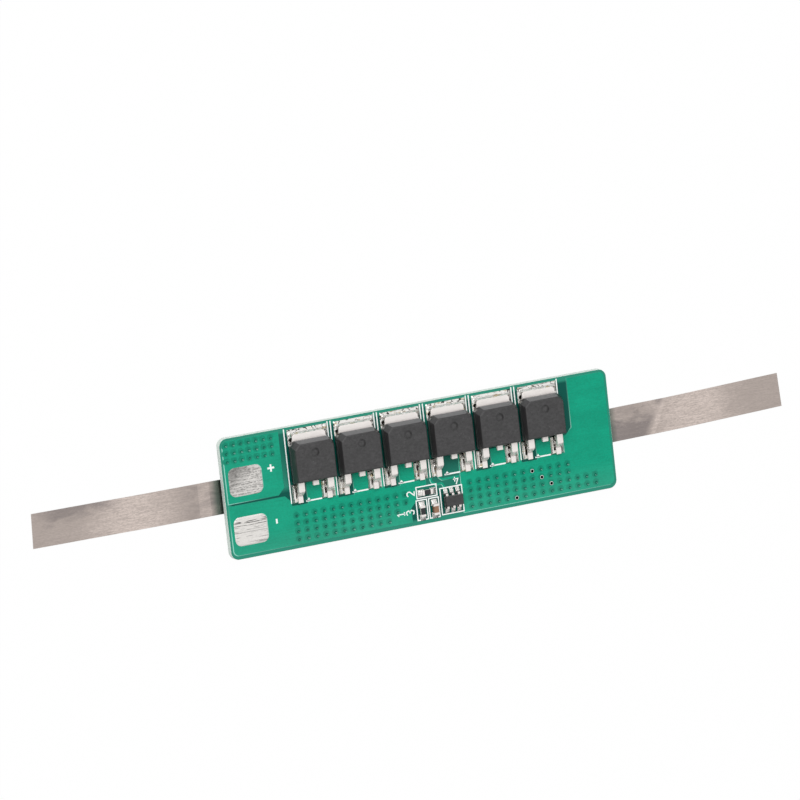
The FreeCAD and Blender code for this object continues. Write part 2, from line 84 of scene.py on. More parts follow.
# Heights and places read from the frame, in millimetres
BOARD_LOW = low("circuit_board")
BOARD_HIGH = high("circuit_board")
BOARD_TOP = low("transistor_1_solder").z
POUR_TOP = BOARD_HIGH.z
RELIEF = POUR_TOP - BOARD_TOP
BOARD_BOTTOM = BOARD_LOW.z + RELIEF
SEAT = low("transistor_1_drain_tab").z
CENTRES = [(low(name + "_body").x + high(name + "_body").x) / 2 for name in TRANSISTORS]
DIMPLE_Y = (low("transistor_1_body").y + high("transistor_1_body").y) / 2 + 1.25
# Steps between the tented vias along and across the board, and where their lower fields start, in millimetres
VIA_STEP, RIGHT_STEP, CORNER_STEP, VIA_ROW = 1.42, 1.425, 1.17, 1.16
VIA_FRONT = BOARD_LOW.y + 1.26
VIA_LEFT = CENTRES[0] - 2.97
VIA_RIGHT = CENTRES[3] + 2.54
# Fields of tented vias: the front left via, the steps and the counts along and across
VIA_FIELDS = (
    ((BOARD_LOW.x + 0.97, BOARD_HIGH.y - 1.14 - 2 * CORNER_STEP), (CORNER_STEP, CORNER_STEP), (7, 3)),
    ((VIA_LEFT, VIA_FRONT), (VIA_STEP, VIA_ROW), (11, 4)),
    ((VIA_LEFT + 11 * VIA_STEP, VIA_FRONT + VIA_ROW), (VIA_STEP, VIA_ROW), (1, 3)),
    ((VIA_LEFT + 12 * VIA_STEP, VIA_FRONT + 2 * VIA_ROW), (VIA_STEP, VIA_ROW), (1, 2)),
    ((VIA_RIGHT, VIA_FRONT), (RIGHT_STEP, VIA_ROW), (12, 4)),
    ((VIA_RIGHT + 12 * RIGHT_STEP, VIA_FRONT), (RIGHT_STEP, VIA_ROW), (3, 2)),
)


def colour_setting(name, code, description):
    return bpy.props.FloatVectorProperty(
        name=name, description=description, subtype="COLOR", size=3, min=0, max=1, default=linear(code)
    )


def length_setting(name, millimetres, description):
    return bpy.props.FloatProperty(
        name=name, description=description, subtype="DISTANCE", unit="LENGTH", default=millimetres * MM
    )


def angle_setting(name, degrees, description):
    return bpy.props.FloatProperty(
        name=name, description=description, subtype="ANGLE", unit="ROTATION", default=math.radians(degrees)
    )


class BoardSettings(bpy.types.PropertyGroup):
    """Finish and fine shape of the board and its printed marks"""
    mask: colour_setting("Mask over copper", "#0F9C7C", "Green solder mask with copper under it")
    bare_mask: colour_setting("Mask over laminate", "#04554A", "Green solder mask without copper under it")
    edge_mask: colour_setting(
        "Mask at the edge", "#2E8B75", "Green solder mask on the bare margin, lit through the board's edge"
    )
    laminate: colour_setting("Laminate edge", "#E9F5EE", "Cut edge of the glass laminate")
    ink: colour_setting("Marking ink", "#FAFDFB", "White printed marks")
    ink_width: length_setting("Mark width", 0.165, "Width of the printed lines")
    ink_height: length_setting("Mark height", 0.012, "Height of the printed lines above the mask")
    slope: length_setting("Copper edge slope", 0.09, "How far the mask takes to come down from the copper")


class MetalSettings(bpy.types.PropertyGroup):
    """Finish and fine shape of the plating, the solder and the strips"""
    tin: colour_setting("Lead tin", "#F3EDE9", "Matt tin plating of the leads and drain plates")
    solder: colour_setting("Solder", "#F0EEEA", "Bright solder round the leads")
    pad: colour_setting("Pad tin", "#DCD9D5", "Levelled tin on the output pads")
    nickel: colour_setting("Nickel", "#DACCC4", "Nickel strip")
    lump: length_setting("Solder lumps", 0.07, "How far the solder stands above and below its even shape")
    wave: length_setting("Strip waviness", 0.18, "How far the nickel strips bow from flat")


class PackageSettings(bpy.types.PropertyGroup):
    """Finish of the bodies of the transistors, the chip, the resistors and the capacitor"""
    epoxy: colour_setting("Moulded epoxy", "#3D3C3D", "Transistor bodies")
    chip_epoxy: colour_setting("Chip epoxy", "#39393A", "Control chip body")
    glass: colour_setting("Resistor glass", "#1E1F21", "Protective film of the resistors")
    alumina: colour_setting("Alumina", "#E7E4DC", "White ceramic of the resistors")
    titanate: colour_setting("Capacitor ceramic", "#966E54", "Brown ceramic of the capacitor")
    ease: length_setting("Edge rounding", 0.05, "Rounding of the moulded and stamped edges")


class StageSettings(bpy.types.PropertyGroup):
    """Camera, floor and light"""
    azimuth: angle_setting("Camera azimuth", 154.82, "Direction from the board to the camera, from +X to +Y")
    elevation: angle_setting("Camera elevation", 65.34, "Height of the camera above the board's plane")
    roll: angle_setting("Camera roll", -6.28, "Turn of the picture")
    distance: length_setting("Camera distance", 979, "From the camera to the point it looks at")
    target_x: length_setting("Target along the board", -2.09, "Point in the middle of the picture")
    target_y: length_setting("Target across the board", 9.765, "Point in the middle of the picture")
    lens: bpy.props.FloatProperty(
        name="Lens", description="Focal length on a 36 mm sensor", unit="CAMERA", default=306.0
    )
    floor: colour_setting("Floor", "#F4F4F4", "Pale floor")
    world_level: bpy.props.FloatProperty(
        name="Room light", description="Strength of the room's light", min=0, default=0.93
    )
    key_level: bpy.props.FloatProperty(
        name="Main lamp", description="Power of the large soft lamp", unit="POWER", min=0, default=4.4
    )


SETTINGS = {
    "board": BoardSettings,
    "metal": MetalSettings,
    "package": PackageSettings,
    "stage": StageSettings,
}


def settings(group):
    return getattr(bpy.context.scene, "cell_board_" + group)


# Node trees


def add(tree, kind, *values, out=0, **options):
    """Adds a shader node with its options, gives its inputs values or links, and returns one of its outputs.

    The values fill the inputs in order, or by number or name where they come as one dict. A mix of colours
    has its amount at 0, its two colours at 6 and 7 and its result at 2."""
    node = tree.nodes.new("ShaderNode" + kind)
    for key, value in options.items():
        setattr(node, key, value)
    inputs = values[0] if values and isinstance(values[0], dict) else dict(enumerate(values))
    for key, value in inputs.items():
        if isinstance(value, bpy.types.NodeSocket):
            tree.links.new(value, node.inputs[key])
        else:
            node.inputs[key].default_value = value
    return node.outputs[out] if node.outputs else None


def start_material(name):
    material = bpy.data.materials.new(name)
    material.use_nodes = True
    material.node_tree.nodes.clear()
    return material, material.node_tree


def place_in_mm(tree):
    """Place on the object in the row frame, in millimetres."""
    place = add(tree, "TexCoord", out="Object")
    return add(tree, "VectorMath", place, (1 / MM,) * 3, operation="MULTIPLY")


def pattern(tree, place, sizes, detail=2.0, roughness=0.5, distortion=0.0):
    """Uneven pattern whose grains have the given size in millimetres along each axis."""
    scaled = add(tree, "VectorMath", place, sizes, operation="DIVIDE")
    inputs = {"Vector": scaled, "Scale": 1.0, "Detail": detail, "Roughness": roughness,
              "Distortion": distortion}
    return add(tree, "TexNoise", inputs, out="Fac")


def opaque(colour):
    return (*colour, 1.0)


def shade(colour, factor):
    return opaque([min(1.0, part * factor) for part in colour])


def close_surface(tree, bump, bump_mm, **inputs):
    """Ends a material with one principled shader; bump is a height pattern and bump_mm its depth."""
    sockets = {key.replace("_", " "): value for key, value in inputs.items()}
    shader = add(tree, "BsdfPrincipled", sockets)
    normal = add(tree, "Bump", {"Strength": 1.0, "Distance": bump_mm * MM, "Height": bump})
    tree.links.new(normal, shader.node.inputs["Normal"])
    add(tree, "OutputMaterial", shader)


# Materials


def regular_offset(tree, place, first, pitch, count):
    """Offset in millimetres from the nearest of the points in a regular field, and 1 inside that field."""
    steps = add(tree, "VectorMath", place, (*first, 0), operation="SUBTRACT")
    steps = add(tree, "VectorMath", steps, (pitch[0], pitch[1], 1), operation="DIVIDE")
    parts = add(tree, "SeparateXYZ", steps, out=slice(3))
    inside = None
    offsets = []
    for axis in (0, 1):
        middle = (count[axis] - 1) / 2
        within = add(tree, "Math", parts[axis], middle, middle + 0.5, operation="COMPARE")
        inside = within if inside is None else add(tree, "Math", inside, within, operation="MULTIPLY")
        shifted = add(tree, "Math", parts[axis], 0.5, operation="ADD")
        cell = add(tree, "Math", add(tree, "Math", shifted, operation="FRACT"), 0.5, operation="SUBTRACT")
        offsets.append(add(tree, "Math", cell, pitch[axis], operation="MULTIPLY"))
    offset = add(tree, "CombineXYZ", offsets[0], offsets[1])
    return offset, inside


def solder_mask_material():
    """Liquid solder mask on glass laminate: satin green, brighter over copper and darker where it pools
    round a via, with the routed laminate at the edge. Painted shade darkens each via's pit and its rear
    left side, and painted highlights lie at each via's front right, along the front and on the copper's
    shoulders that face the left front."""
    look = settings("board")
    material, tree = start_material("solder_mask_on_laminate")
    place = place_in_mm(tree)
    x, y, height = add(tree, "SeparateXYZ", place, out=slice(3))
    across = [add(tree, "Math", axis, operation="ABSOLUTE") for axis in (x, y)]
    copper = add(tree, "Math", add(tree, "MapRange", height, BOARD_TOP + 0.022, POUR_TOP - 0.003),
                 add(tree, "MapRange", height, BOARD_BOTTOM - 0.012, BOARD_LOW.z + 0.003),
                 operation="MAXIMUM")
    rim = add(tree, "Math", add(tree, "MapRange", across[0], BOARD_HIGH.x - 1.0, BOARD_HIGH.x - 0.6),
              add(tree, "MapRange", across[1], BOARD_HIGH.y - 1.0, BOARD_HIGH.y - 0.6), operation="MAXIMUM")
    margin = add(tree, "Math", rim, 0.99, operation="GREATER_THAN")
    middle = add(tree, "Math", 1.0, margin, operation="SUBTRACT")
    core = add(tree, "Math", add(tree, "Math", height, BOARD_BOTTOM + 0.01, operation="GREATER_THAN"),
               add(tree, "Math", height, BOARD_TOP - 0.01, operation="LESS_THAN"), operation="MULTIPLY")
    routed = add(tree, "Math", core, add(tree, "Math", 1.0, middle, operation="SUBTRACT"),
                 operation="MULTIPLY")
    pit = add(tree, "Math", core, middle, operation="MULTIPLY")
    thick = add(tree, "Math", copper, pit, operation="MAXIMUM")
    streaks = pattern(tree, place, (3.0, 0.16, 1.0), detail=3)
    cloud = pattern(tree, place, (6.0, 2.4, 1.0), detail=3)
    pool = pattern(tree, place, (0.8, 0.5, 1.0), detail=3)
    # Copper on the underside brightens the bare strip in front of the plus pour
    backed = add(tree, "Math", add(tree, "MapRange", x, CENTRES[0] - 3.4, CENTRES[0] - 3.9),
                 add(tree, "MapRange", y, 6.5, 0.5, 0.3, 1.0), operation="MULTIPLY")
    backed = add(tree, "Math", backed, add(tree, "MapRange", y, -0.5, 0.4), operation="MULTIPLY")
    # The bare mask is lighter round the small parts; in front of the chip's frame it keeps the darker bare
    # colour, partly as painted shadow of the chip
    parts_field = add(tree, "Math", add(tree, "Math", x, PARTS_MIDDLE, PARTS_REACH, operation="COMPARE"),
                      add(tree, "MapRange", y, -0.3, -3.0, 0.25, 0.55), operation="MULTIPLY")
    parts_field = add(tree, "Math", parts_field, add(tree, "MapRange", y, -4.5, -4.1), operation="MULTIPLY")
    backed = add(tree, "Math", backed, parts_field, operation="MAXIMUM")
    bare = add(tree, "Mix",
               {0: add(tree, "Math", rim, backed, operation="MAXIMUM"), 6: opaque(look.bare_mask),
                7: opaque(look.edge_mask)}, out=2, data_type="RGBA")
    ragged = pattern(tree, place, (0.35, 0.35, 1.0), detail=3)
    fleck = pattern(tree, place, (0.28, 0.2, 1.0), detail=3, roughness=0.7)
    over_copper = opaque(look.mask)
    for uneven, start, end, most, factor in (
            (streaks, 0.3, 0.7, 0.5, 1.25), (cloud, 0.35, 0.65, 0.5, 0.75), (pool, 0.5, 0.8, 0.35, 0.8),
            (fleck, 0.42, 0.68, 0.3, 1.3), (fleck, 0.5, 0.3, 0.3, 0.75)):
        amount = add(tree, "MapRange", uneven, start, end, 0.0, most)
        over_copper = add(tree, "Mix", {0: amount, 6: over_copper, 7: shade(look.mask, factor)}, out=2,
                          data_type="RGBA")
    halo = glint = bowls = None
    for first, steps, count in VIA_FIELDS:
        # The mask pools round each hole; its darkening is offset to the rear left as painted shade on that
        # side of the dimple
        offset, inside = regular_offset(tree, place, (first[0] - 0.08, first[1] + 0.13), steps, count)
        away = add(tree, "VectorMath", offset, out="Value", operation="LENGTH")
        reach = add(tree, "Math", away, add(tree, "MapRange", ragged, 0.3, 0.7, -0.12, 0.12), operation="ADD")
        field = add(tree, "MapRange", reach, 0.58, 0.42, interpolation_type="SMOOTHSTEP")
        field = add(tree, "Math", inside, field, operation="MULTIPLY")
        near = add(tree, "Math", away, 0.6, operation="LESS_THAN")
        near = add(tree, "Math", inside, near, operation="MULTIPLY")
        # Painted glint: a small highlight at the front right of each via
        glint_place = add(tree, "VectorMath", offset, (0.22, -0.2, 0), operation="SUBTRACT")
        glint_reach = add(tree, "VectorMath", glint_place, out="Value", operation="LENGTH")
        thin = add(tree, "Math", inside, add(tree, "MapRange", glint_reach, 0.15, 0.05), operation="MULTIPLY")
        halo = field if halo is None else add(tree, "Math", halo, field, operation="MAXIMUM")
        glint = thin if glint is None else add(tree, "Math", glint, thin, operation="MAXIMUM")
        bowls = near if bowls is None else add(tree, "Math", bowls, near, operation="MAXIMUM")
    halo = add(tree, "Math", halo, add(tree, "MapRange", ragged, 0.3, 0.7, 0.3, 0.85), operation="MULTIPLY")
    broken = add(tree, "MapRange", pattern(tree, place, (0.9, 0.9, 1.0)), 0.4, 0.62, 0.05, 0.65)
    glint = add(tree, "Math", glint, broken, operation="MULTIPLY")
    # Painted sheen: a little paler along the front and, very slightly, at the left end
    painted_sheen = add(tree, "Math", add(tree, "MapRange", x, -14.0, -21.0, 0.0, 0.008),
                  add(tree, "MapRange", y, -4.5, -8.1, 0.0, 0.035), operation="MAXIMUM")
    # In turn: the halo, painted shade in each via's pit, the painted glint and the painted sheen
    for amount, code in ((halo, "#07735C"), (add(tree, "Math", pit, 0.45, operation="MULTIPLY"), "#0A5646"),
                         (glint, "#A5E6D2"), (painted_sheen, "#C8EDE3")):
        over_copper = add(tree, "Mix", {0: amount, 6: over_copper, 7: opaque(linear(code))}, out=2,
                          data_type="RGBA")
    colour = add(tree, "Mix", {0: thick, 6: bare, 7: over_copper}, out=2, data_type="RGBA")
    # The mask is a little paler on all the copper's shoulders, where it lies thinner, and those that face the
    # left front corner carry a painted highlight
    normal = add(tree, "NewGeometry", out="Normal")
    level = add(tree, "VectorMath", normal, (1, 1, 0), operation="MULTIPLY")
    outward = add(tree, "VectorMath", level, operation="NORMALIZE")
    facing = add(tree, "VectorMath", outward, HIGHLIT_SIDE, out="Value", operation="DOT_PRODUCT")
    shoulder = add(tree, "Math", add(tree, "MapRange", height, BOARD_TOP + 0.008, BOARD_TOP + 0.022),
                   add(tree, "MapRange", facing, 0.1, 0.8, 0.05, 0.9), operation="MULTIPLY")
    shoulder = add(tree, "Math", shoulder, add(tree, "MapRange", height, POUR_TOP - 0.0005, POUR_TOP - 0.004),
                   operation="MULTIPLY")
    clear_of_vias = add(tree, "Math", 1.0, bowls, operation="SUBTRACT")
    shoulder = add(tree, "Math", shoulder, clear_of_vias, operation="MULTIPLY")
    colour = add(tree, "Mix", {0: shoulder, 6: colour, 7: opaque(linear("#98D8C8"))}, out=2, data_type="RGBA")
    fibres = pattern(tree, place, (1.2, 1.2, 0.07), detail=4)
    edge = add(tree, "Mix",
               {0: add(tree, "MapRange", fibres, 0.35, 0.65), 6: opaque(look.laminate),
                7: shade(look.laminate, 0.8)}, out=2, data_type="RGBA")
    colour = add(tree, "Mix", {0: routed, 6: colour, 7: edge}, out=2, data_type="RGBA")
    close_surface(tree, streaks, 0.004, Base_Color=colour,
                  Roughness=add(tree, "MapRange", routed, 0.0, 1.0, 0.26, 0.85), Specular_IOR_Level=0.11)
    return material


def ink_material():
    """Screen-printed epoxy ink: flat white, thin enough at the edges for a little green to come through."""
    look = settings("board")
    material, tree = start_material("printed_epoxy_ink")
    place = place_in_mm(tree)
    grain = pattern(tree, place, (0.12, 0.12, 0.12), detail=3)
    colour = add(tree, "Mix",
                 {0: add(tree, "MapRange", grain, 0.62, 0.8), 6: opaque(look.ink),
                  7: opaque(linear("#B7D9CC"))}, out=2, data_type="RGBA")
    close_surface(tree, grain, 0.006, Base_Color=colour, Roughness=0.62)
    return material


def levelled_tin_material(name, streaky):
    """Solder levelled over copper: satin metal, grainy where it froze slowly, with thin dark drag lines
    where the hot air swept it along the board."""
    look = settings("metal")
    material, tree = start_material(name)
    place = place_in_mm(tree)
    patches = pattern(tree, place, (1.5, 1.1, 1.0), detail=2)
    grains = pattern(tree, place, (0.3, 0.17, 1.0), detail=5, roughness=0.7)
    if streaky:
        lines = pattern(tree, place, (3.4, 0.15, 1.0), detail=2, roughness=0.55, distortion=0.15)
        rear = add(tree, "MapRange", add(tree, "SeparateXYZ", place, out=1), high("output_pad_minus").y - 2.0,
                   high("output_pad_minus").y - 0.9, 0.55, 1.0)
        dark = add(tree, "Math", add(tree, "MapRange", lines, 0.565, 0.6),
                   add(tree, "MapRange", patches, 0.36, 0.46), operation="MULTIPLY")
        dark = add(tree, "Math", dark, rear, operation="MULTIPLY")
        colour = add(tree, "Mix",
                     {0: add(tree, "MapRange", grains, 0.45, 0.7, 0.0, 0.4), 6: shade(look.pad, 1.2),
                      7: shade(look.pad, 0.85)}, out=2, data_type="RGBA")
        colour = add(tree, "Mix", {0: dark, 6: colour, 7: shade(look.pad, 0.1)}, out=2, data_type="RGBA")
    else:
        speck = pattern(tree, place, (0.4, 0.14, 1.0), detail=4, roughness=0.85)
        sweep = pattern(tree, place, (3.0, 0.2, 1.0), detail=3)
        colour = add(tree, "Mix",
                     {0: add(tree, "MapRange", speck, 0.36, 0.62), 6: shade(look.pad, 1.3),
                      7: shade(look.pad, 0.28)}, out=2, data_type="RGBA")
        colour = add(tree, "Mix",
                     {0: add(tree, "MapRange", sweep, 0.52, 0.58, 0.0, 0.7), 6: colour,
                      7: shade(look.pad, 1.25)}, out=2, data_type="RGBA")
        # Darker and patchier towards the rear left corner
        corner = add(tree, "VectorMath", place, (-0.7, 0.7, 0), out="Value", operation="DOT_PRODUCT")
        weight = add(tree, "MapRange", corner, 20.4, 22.6)
        patchy = add(tree, "MapRange", patches, 0.35, 0.55, 0.35, 0.65)
        dull = add(tree, "Math", weight, patchy, operation="MULTIPLY")
        colour = add(tree, "Mix", {0: dull, 6: colour, 7: shade(look.pad, 0.2)}, out=2, data_type="RGBA")
    close_surface(tree, grains, 0.02, Base_Color=colour, Metallic=1.0,
                  Roughness=add(tree, "MapRange", grains, 0.3, 0.7, 0.3, 0.48))
    return material


def solder_material(name, soot):
    """Reflowed solder: bright and smooth, with faint amber flux where it pooled, and painted dark where the
    mesh carries painted shade and reflection; soot above 0 spreads dark charred flux over all of it at
    random."""
    look = settings("metal")
    material, tree = start_material(name)
    place = place_in_mm(tree)
    shade_and_reflection = add(tree, "Attribute", out="Fac", attribute_name="shade_and_reflection")
    ragged = pattern(tree, place, (0.16, 0.16, 0.16), detail=3)
    # Painted shade and reflection where the mesh carries them, and charred flux where soot spreads it
    shade_and_charred_flux = add(tree, "MapRange", add(tree, "Math", shade_and_reflection, ragged, operation="ADD"), 0.85 - soot, 1.05 - soot)
    flux = pattern(tree, place, (0.9, 0.4, 0.5), detail=3)
    wrinkle = pattern(tree, place, (0.3, 0.18, 0.18), detail=3)
    colour = add(tree, "Mix",
                 {0: add(tree, "MapRange", flux, 0.58 + soot, 0.66 + soot, 0.0, 0.75), 6: opaque(look.solder),
                  7: opaque(linear("#C2A868"))}, out=2, data_type="RGBA")
    colour = add(tree, "Mix", {0: shade_and_charred_flux, 6: colour, 7: opaque(linear("#2A2620"))}, out=2, data_type="RGBA")
    close_surface(tree, wrinkle, 0.03, Base_Color=colour, Metallic=0.9,
                  Roughness=add(tree, "MapRange", wrinkle, 0.3, 0.7, 0.12, 0.26))
    return material


def lead_tin_material(name, metallic, slope_shade=1.0):
    """Electroplated matt tin on stamped copper: pale and chalky, so it scatters light as much as it
    mirrors. The last argument, when low, darkens the slopes as a painted reflection of the dim room."""
    look = settings("metal")
    material, tree = start_material(name)
    place = place_in_mm(tree)
    grain = pattern(tree, place, (0.08, 0.08, 0.08), detail=3)
    tone = pattern(tree, place, (0.9, 0.6, 0.5))
    colour = add(tree, "Mix",
                 {0: add(tree, "MapRange", tone, 0.35, 0.7, 0.0, 0.5), 6: opaque(look.tin),
                  7: shade(look.tin, 0.88)}, out=2, data_type="RGBA")
    normal = add(tree, "NewGeometry", out="Normal")
    level = add(tree, "SeparateXYZ", normal, out=2)
    slope = add(tree, "MapRange", level, 0.9, 0.6)
    colour = add(tree, "Mix", {0: slope, 6: colour, 7: shade(look.tin, slope_shade)}, out=2, data_type="RGBA")
    close_surface(tree, grain, 0.004, Base_Color=colour, Metallic=metallic,
                  Roughness=add(tree, "MapRange", grain, 0.3, 0.7, 0.26, 0.36))
    return material


def ring_centres():
    """Middles of the open vias' rings, in millimetres."""
    rings = []
    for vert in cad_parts["via_rings"].data.vertices:
        place = vert.co.xy / MM
        ring = next((ring for ring in rings if (ring[0] - place).length < 1.0), None)
        if ring is None:
            ring = []
            rings.append(ring)
        ring.append(place)
    return [sum(ring, Vector((0, 0))) / len(ring) for ring in rings]


def rim_tin_material():
    """Tin on the rims of the open vias: bright on the ring, with painted shade, near black, in its mouth
    and down the barrel.
    """
    look = settings("metal")
    material, tree = start_material("via_tin")
    place = place_in_mm(tree)
    height = add(tree, "SeparateXYZ", place, out=2)
    grain = pattern(tree, place, (0.1, 0.1, 0.1), detail=3)
    hole_shade = add(tree, "Math", add(tree, "MapRange", height, POUR_TOP + 0.002, POUR_TOP - 0.03),
               add(tree, "Math", height, BOARD_LOW.z + 0.05, operation="GREATER_THAN"), operation="MULTIPLY")
    flat = add(tree, "VectorMath", place, (1, 1, 0), operation="MULTIPLY")
    for centre in ring_centres():
        reach = add(tree, "VectorMath", flat, (*centre, 0), out="Value", operation="DISTANCE")
        hole_shade = add(tree, "Math", hole_shade, add(tree, "MapRange", reach, 0.245, 0.215), operation="MAXIMUM")
    colour = add(tree, "Mix",
                 {0: add(tree, "MapRange", grain, 0.4, 0.6), 6: opaque(linear("#FBFDFC")),
                  7: shade(look.pad, 1.1)}, out=2, data_type="RGBA")
    colour = add(tree, "Mix", {0: hole_shade, 6: colour, 7: opaque(linear("#060807"))}, out=2, data_type="RGBA")
    close_surface(tree, grain, 0.01, Base_Color=colour,
                  Metallic=add(tree, "MapRange", hole_shade, 0.0, 1.0, 0.6, 0.0),
                  Roughness=add(tree, "MapRange", hole_shade, 0.0, 1.0, 0.3, 1.0),
                  Specular_IOR_Level=add(tree, "MapRange", hole_shade, 0.0, 1.0, 0.5, 0.1))
    return material


def nickel_material():
    """Rolled pure nickel: warm grey, with drawn lines along the strip, and painted reflections of the
    strips' bows: lighter halfway out, darker cloudy patches most of all near the board, grey between
    the right strip's crease and the board and at the left strip's end, and highlights along the crease
    and across a bend in the left strip."""
    look = settings("metal")
    material, tree = start_material("rolled_nickel")
    place = place_in_mm(tree)
    x, y = add(tree, "SeparateXYZ", place, out=slice(2))
    along = add(tree, "Math", x, operation="ABSOLUTE")
    lines = pattern(tree, place, (2.6, 0.06, 1.0), detail=4, roughness=0.6)
    cloud = pattern(tree, place, (3.4, 1.5, 1.0), detail=5, roughness=0.62, distortion=0.6)
    speckle = pattern(tree, place, (0.45, 0.16, 1.0), detail=4, roughness=0.75)
    # Painted reflection of the strips' bows: lighter halfway out, darker towards the board and the end
    bent = add(tree, "Math", along, add(tree, "MapRange", cloud, 0.2, 0.8, -2.5, 2.5), operation="ADD")
    from_sheen_band = add(tree, "Math", add(tree, "Math", bent, 44.3, operation="SUBTRACT"), operation="ABSOLUTE")
    sheen_band = add(tree, "MapRange", from_sheen_band, 9.5, 1.5, interpolation_type="SMOOTHSTEP")
    colour = add(tree, "Mix", {0: sheen_band, 6: shade(look.nickel, 0.76), 7: shade(look.nickel, 1.18)}, out=2,
                 data_type="RGBA")
    # The right strip is creased across at a slant; between the crease and the board it is painted grey as a
    # reflection off its bent surface
    slant = add(tree, "VectorMath", place, (1.0, -0.5, 0), out="Value", operation="DOT_PRODUCT")
    past = add(tree, "Math", slant, CREASE, operation="SUBTRACT")
    bent_reflection = add(tree, "Math", add(tree, "MapRange", past, -0.4, -1.6),
                 add(tree, "MapRange", x, 30.0, 31.0), operation="MULTIPLY")
    upper = add(tree, "Math", y, add(tree, "MapRange", cloud, 0.3, 0.7, 1.5, -1.5), operation="ADD")
    bent_reflection = add(tree, "Math", bent_reflection, add(tree, "MapRange", upper, 1.5, -0.2), operation="MULTIPLY")
    nook = add(tree, "VectorMath", place, (CREASE + 0.2, 2.6, 0.15), out="Value", operation="DISTANCE")
    bent_reflection = add(tree, "Math", bent_reflection, add(tree, "MapRange", nook, 1.3, 0.3, 0.0, 0.8), operation="MAXIMUM")
    # Painted reflection: the rear edge of the left strip is greyer near its end
    smear_and_reflection = add(tree, "Math", add(tree, "Math", x, 52.5, operation="ADD"), operation="ABSOLUTE")
    smear_and_reflection = add(tree, "Math", add(tree, "MapRange", smear_and_reflection, 7.0, 3.5), add(tree, "MapRange", upper, 0.7, 2.5),
                operation="MULTIPLY")
    smear_and_reflection = add(tree, "Math", smear_and_reflection, 0.9, operation="MULTIPLY")
    bent_reflection = add(tree, "Math", bent_reflection, smear_and_reflection, operation="MAXIMUM")
    # Painted highlights along the crease and across a bend in the left strip
    crease_highlight = add(tree, "MapRange", add(tree, "Math", past, operation="ABSOLUTE"), 0.7, 0.0)
    bend_highlight = add(tree, "Math", x, -33.2, 0.9, operation="COMPARE")
    # Painted reflection: darker cloudy patches, most of them near the board
    near_board = add(tree, "Math", add(tree, "MapRange", along, 39.0, 32.0),
                     add(tree, "MapRange", x, 1.0, -1.0, 0.35, 1.0), operation="MULTIPLY")
    marks = add(tree, "Math", near_board, add(tree, "MapRange", cloud, 0.46, 0.62), operation="MULTIPLY")
    marks = add(tree, "Math", marks, add(tree, "MapRange", cloud, 0.62, 0.76, 0.0, 0.5), operation="MAXIMUM")
    marks = add(tree, "Math", add(tree, "Math", marks, 0.7, operation="MULTIPLY"),
                add(tree, "Math", bent_reflection, 0.85, operation="MULTIPLY"), operation="MAXIMUM")
    mottle = add(tree, "MapRange", speckle, 0.35, 0.65, 0.6, 1.25)
    marks = add(tree, "Math", marks, mottle, operation="MULTIPLY")
    # Green light off the mask tints the first millimetre and a half
    tint = add(tree, "MapRange", along, BOARD_HIGH.x + 1.6, BOARD_HIGH.x + 0.6, 0.0, 0.75)
    for amount, paint in (
            (marks, opaque(linear("#6C666A"))),
            (add(tree, "Math", crease_highlight, 0.45, operation="MULTIPLY"), shade(look.nickel, 1.3)),
            (add(tree, "Math", bend_highlight, 0.35, operation="MULTIPLY"), shade(look.nickel, 1.2)),
            (add(tree, "MapRange", lines, 0.35, 0.65, 0.0, 0.6), shade(look.nickel, 0.55)),
            (add(tree, "MapRange", speckle, 0.45, 0.62, 0.0, 0.55), shade(look.nickel, 0.55)),
            (tint, opaque(linear("#4C6258")))):
        colour = add(tree, "Mix", {0: amount, 6: colour, 7: paint}, out=2, data_type="RGBA")
    close_surface(tree, lines, 0.006, Base_Color=colour, Metallic=1.0,
                  Roughness=add(tree, "MapRange", cloud, 0.3, 0.7, 0.3, 0.42))
    return material


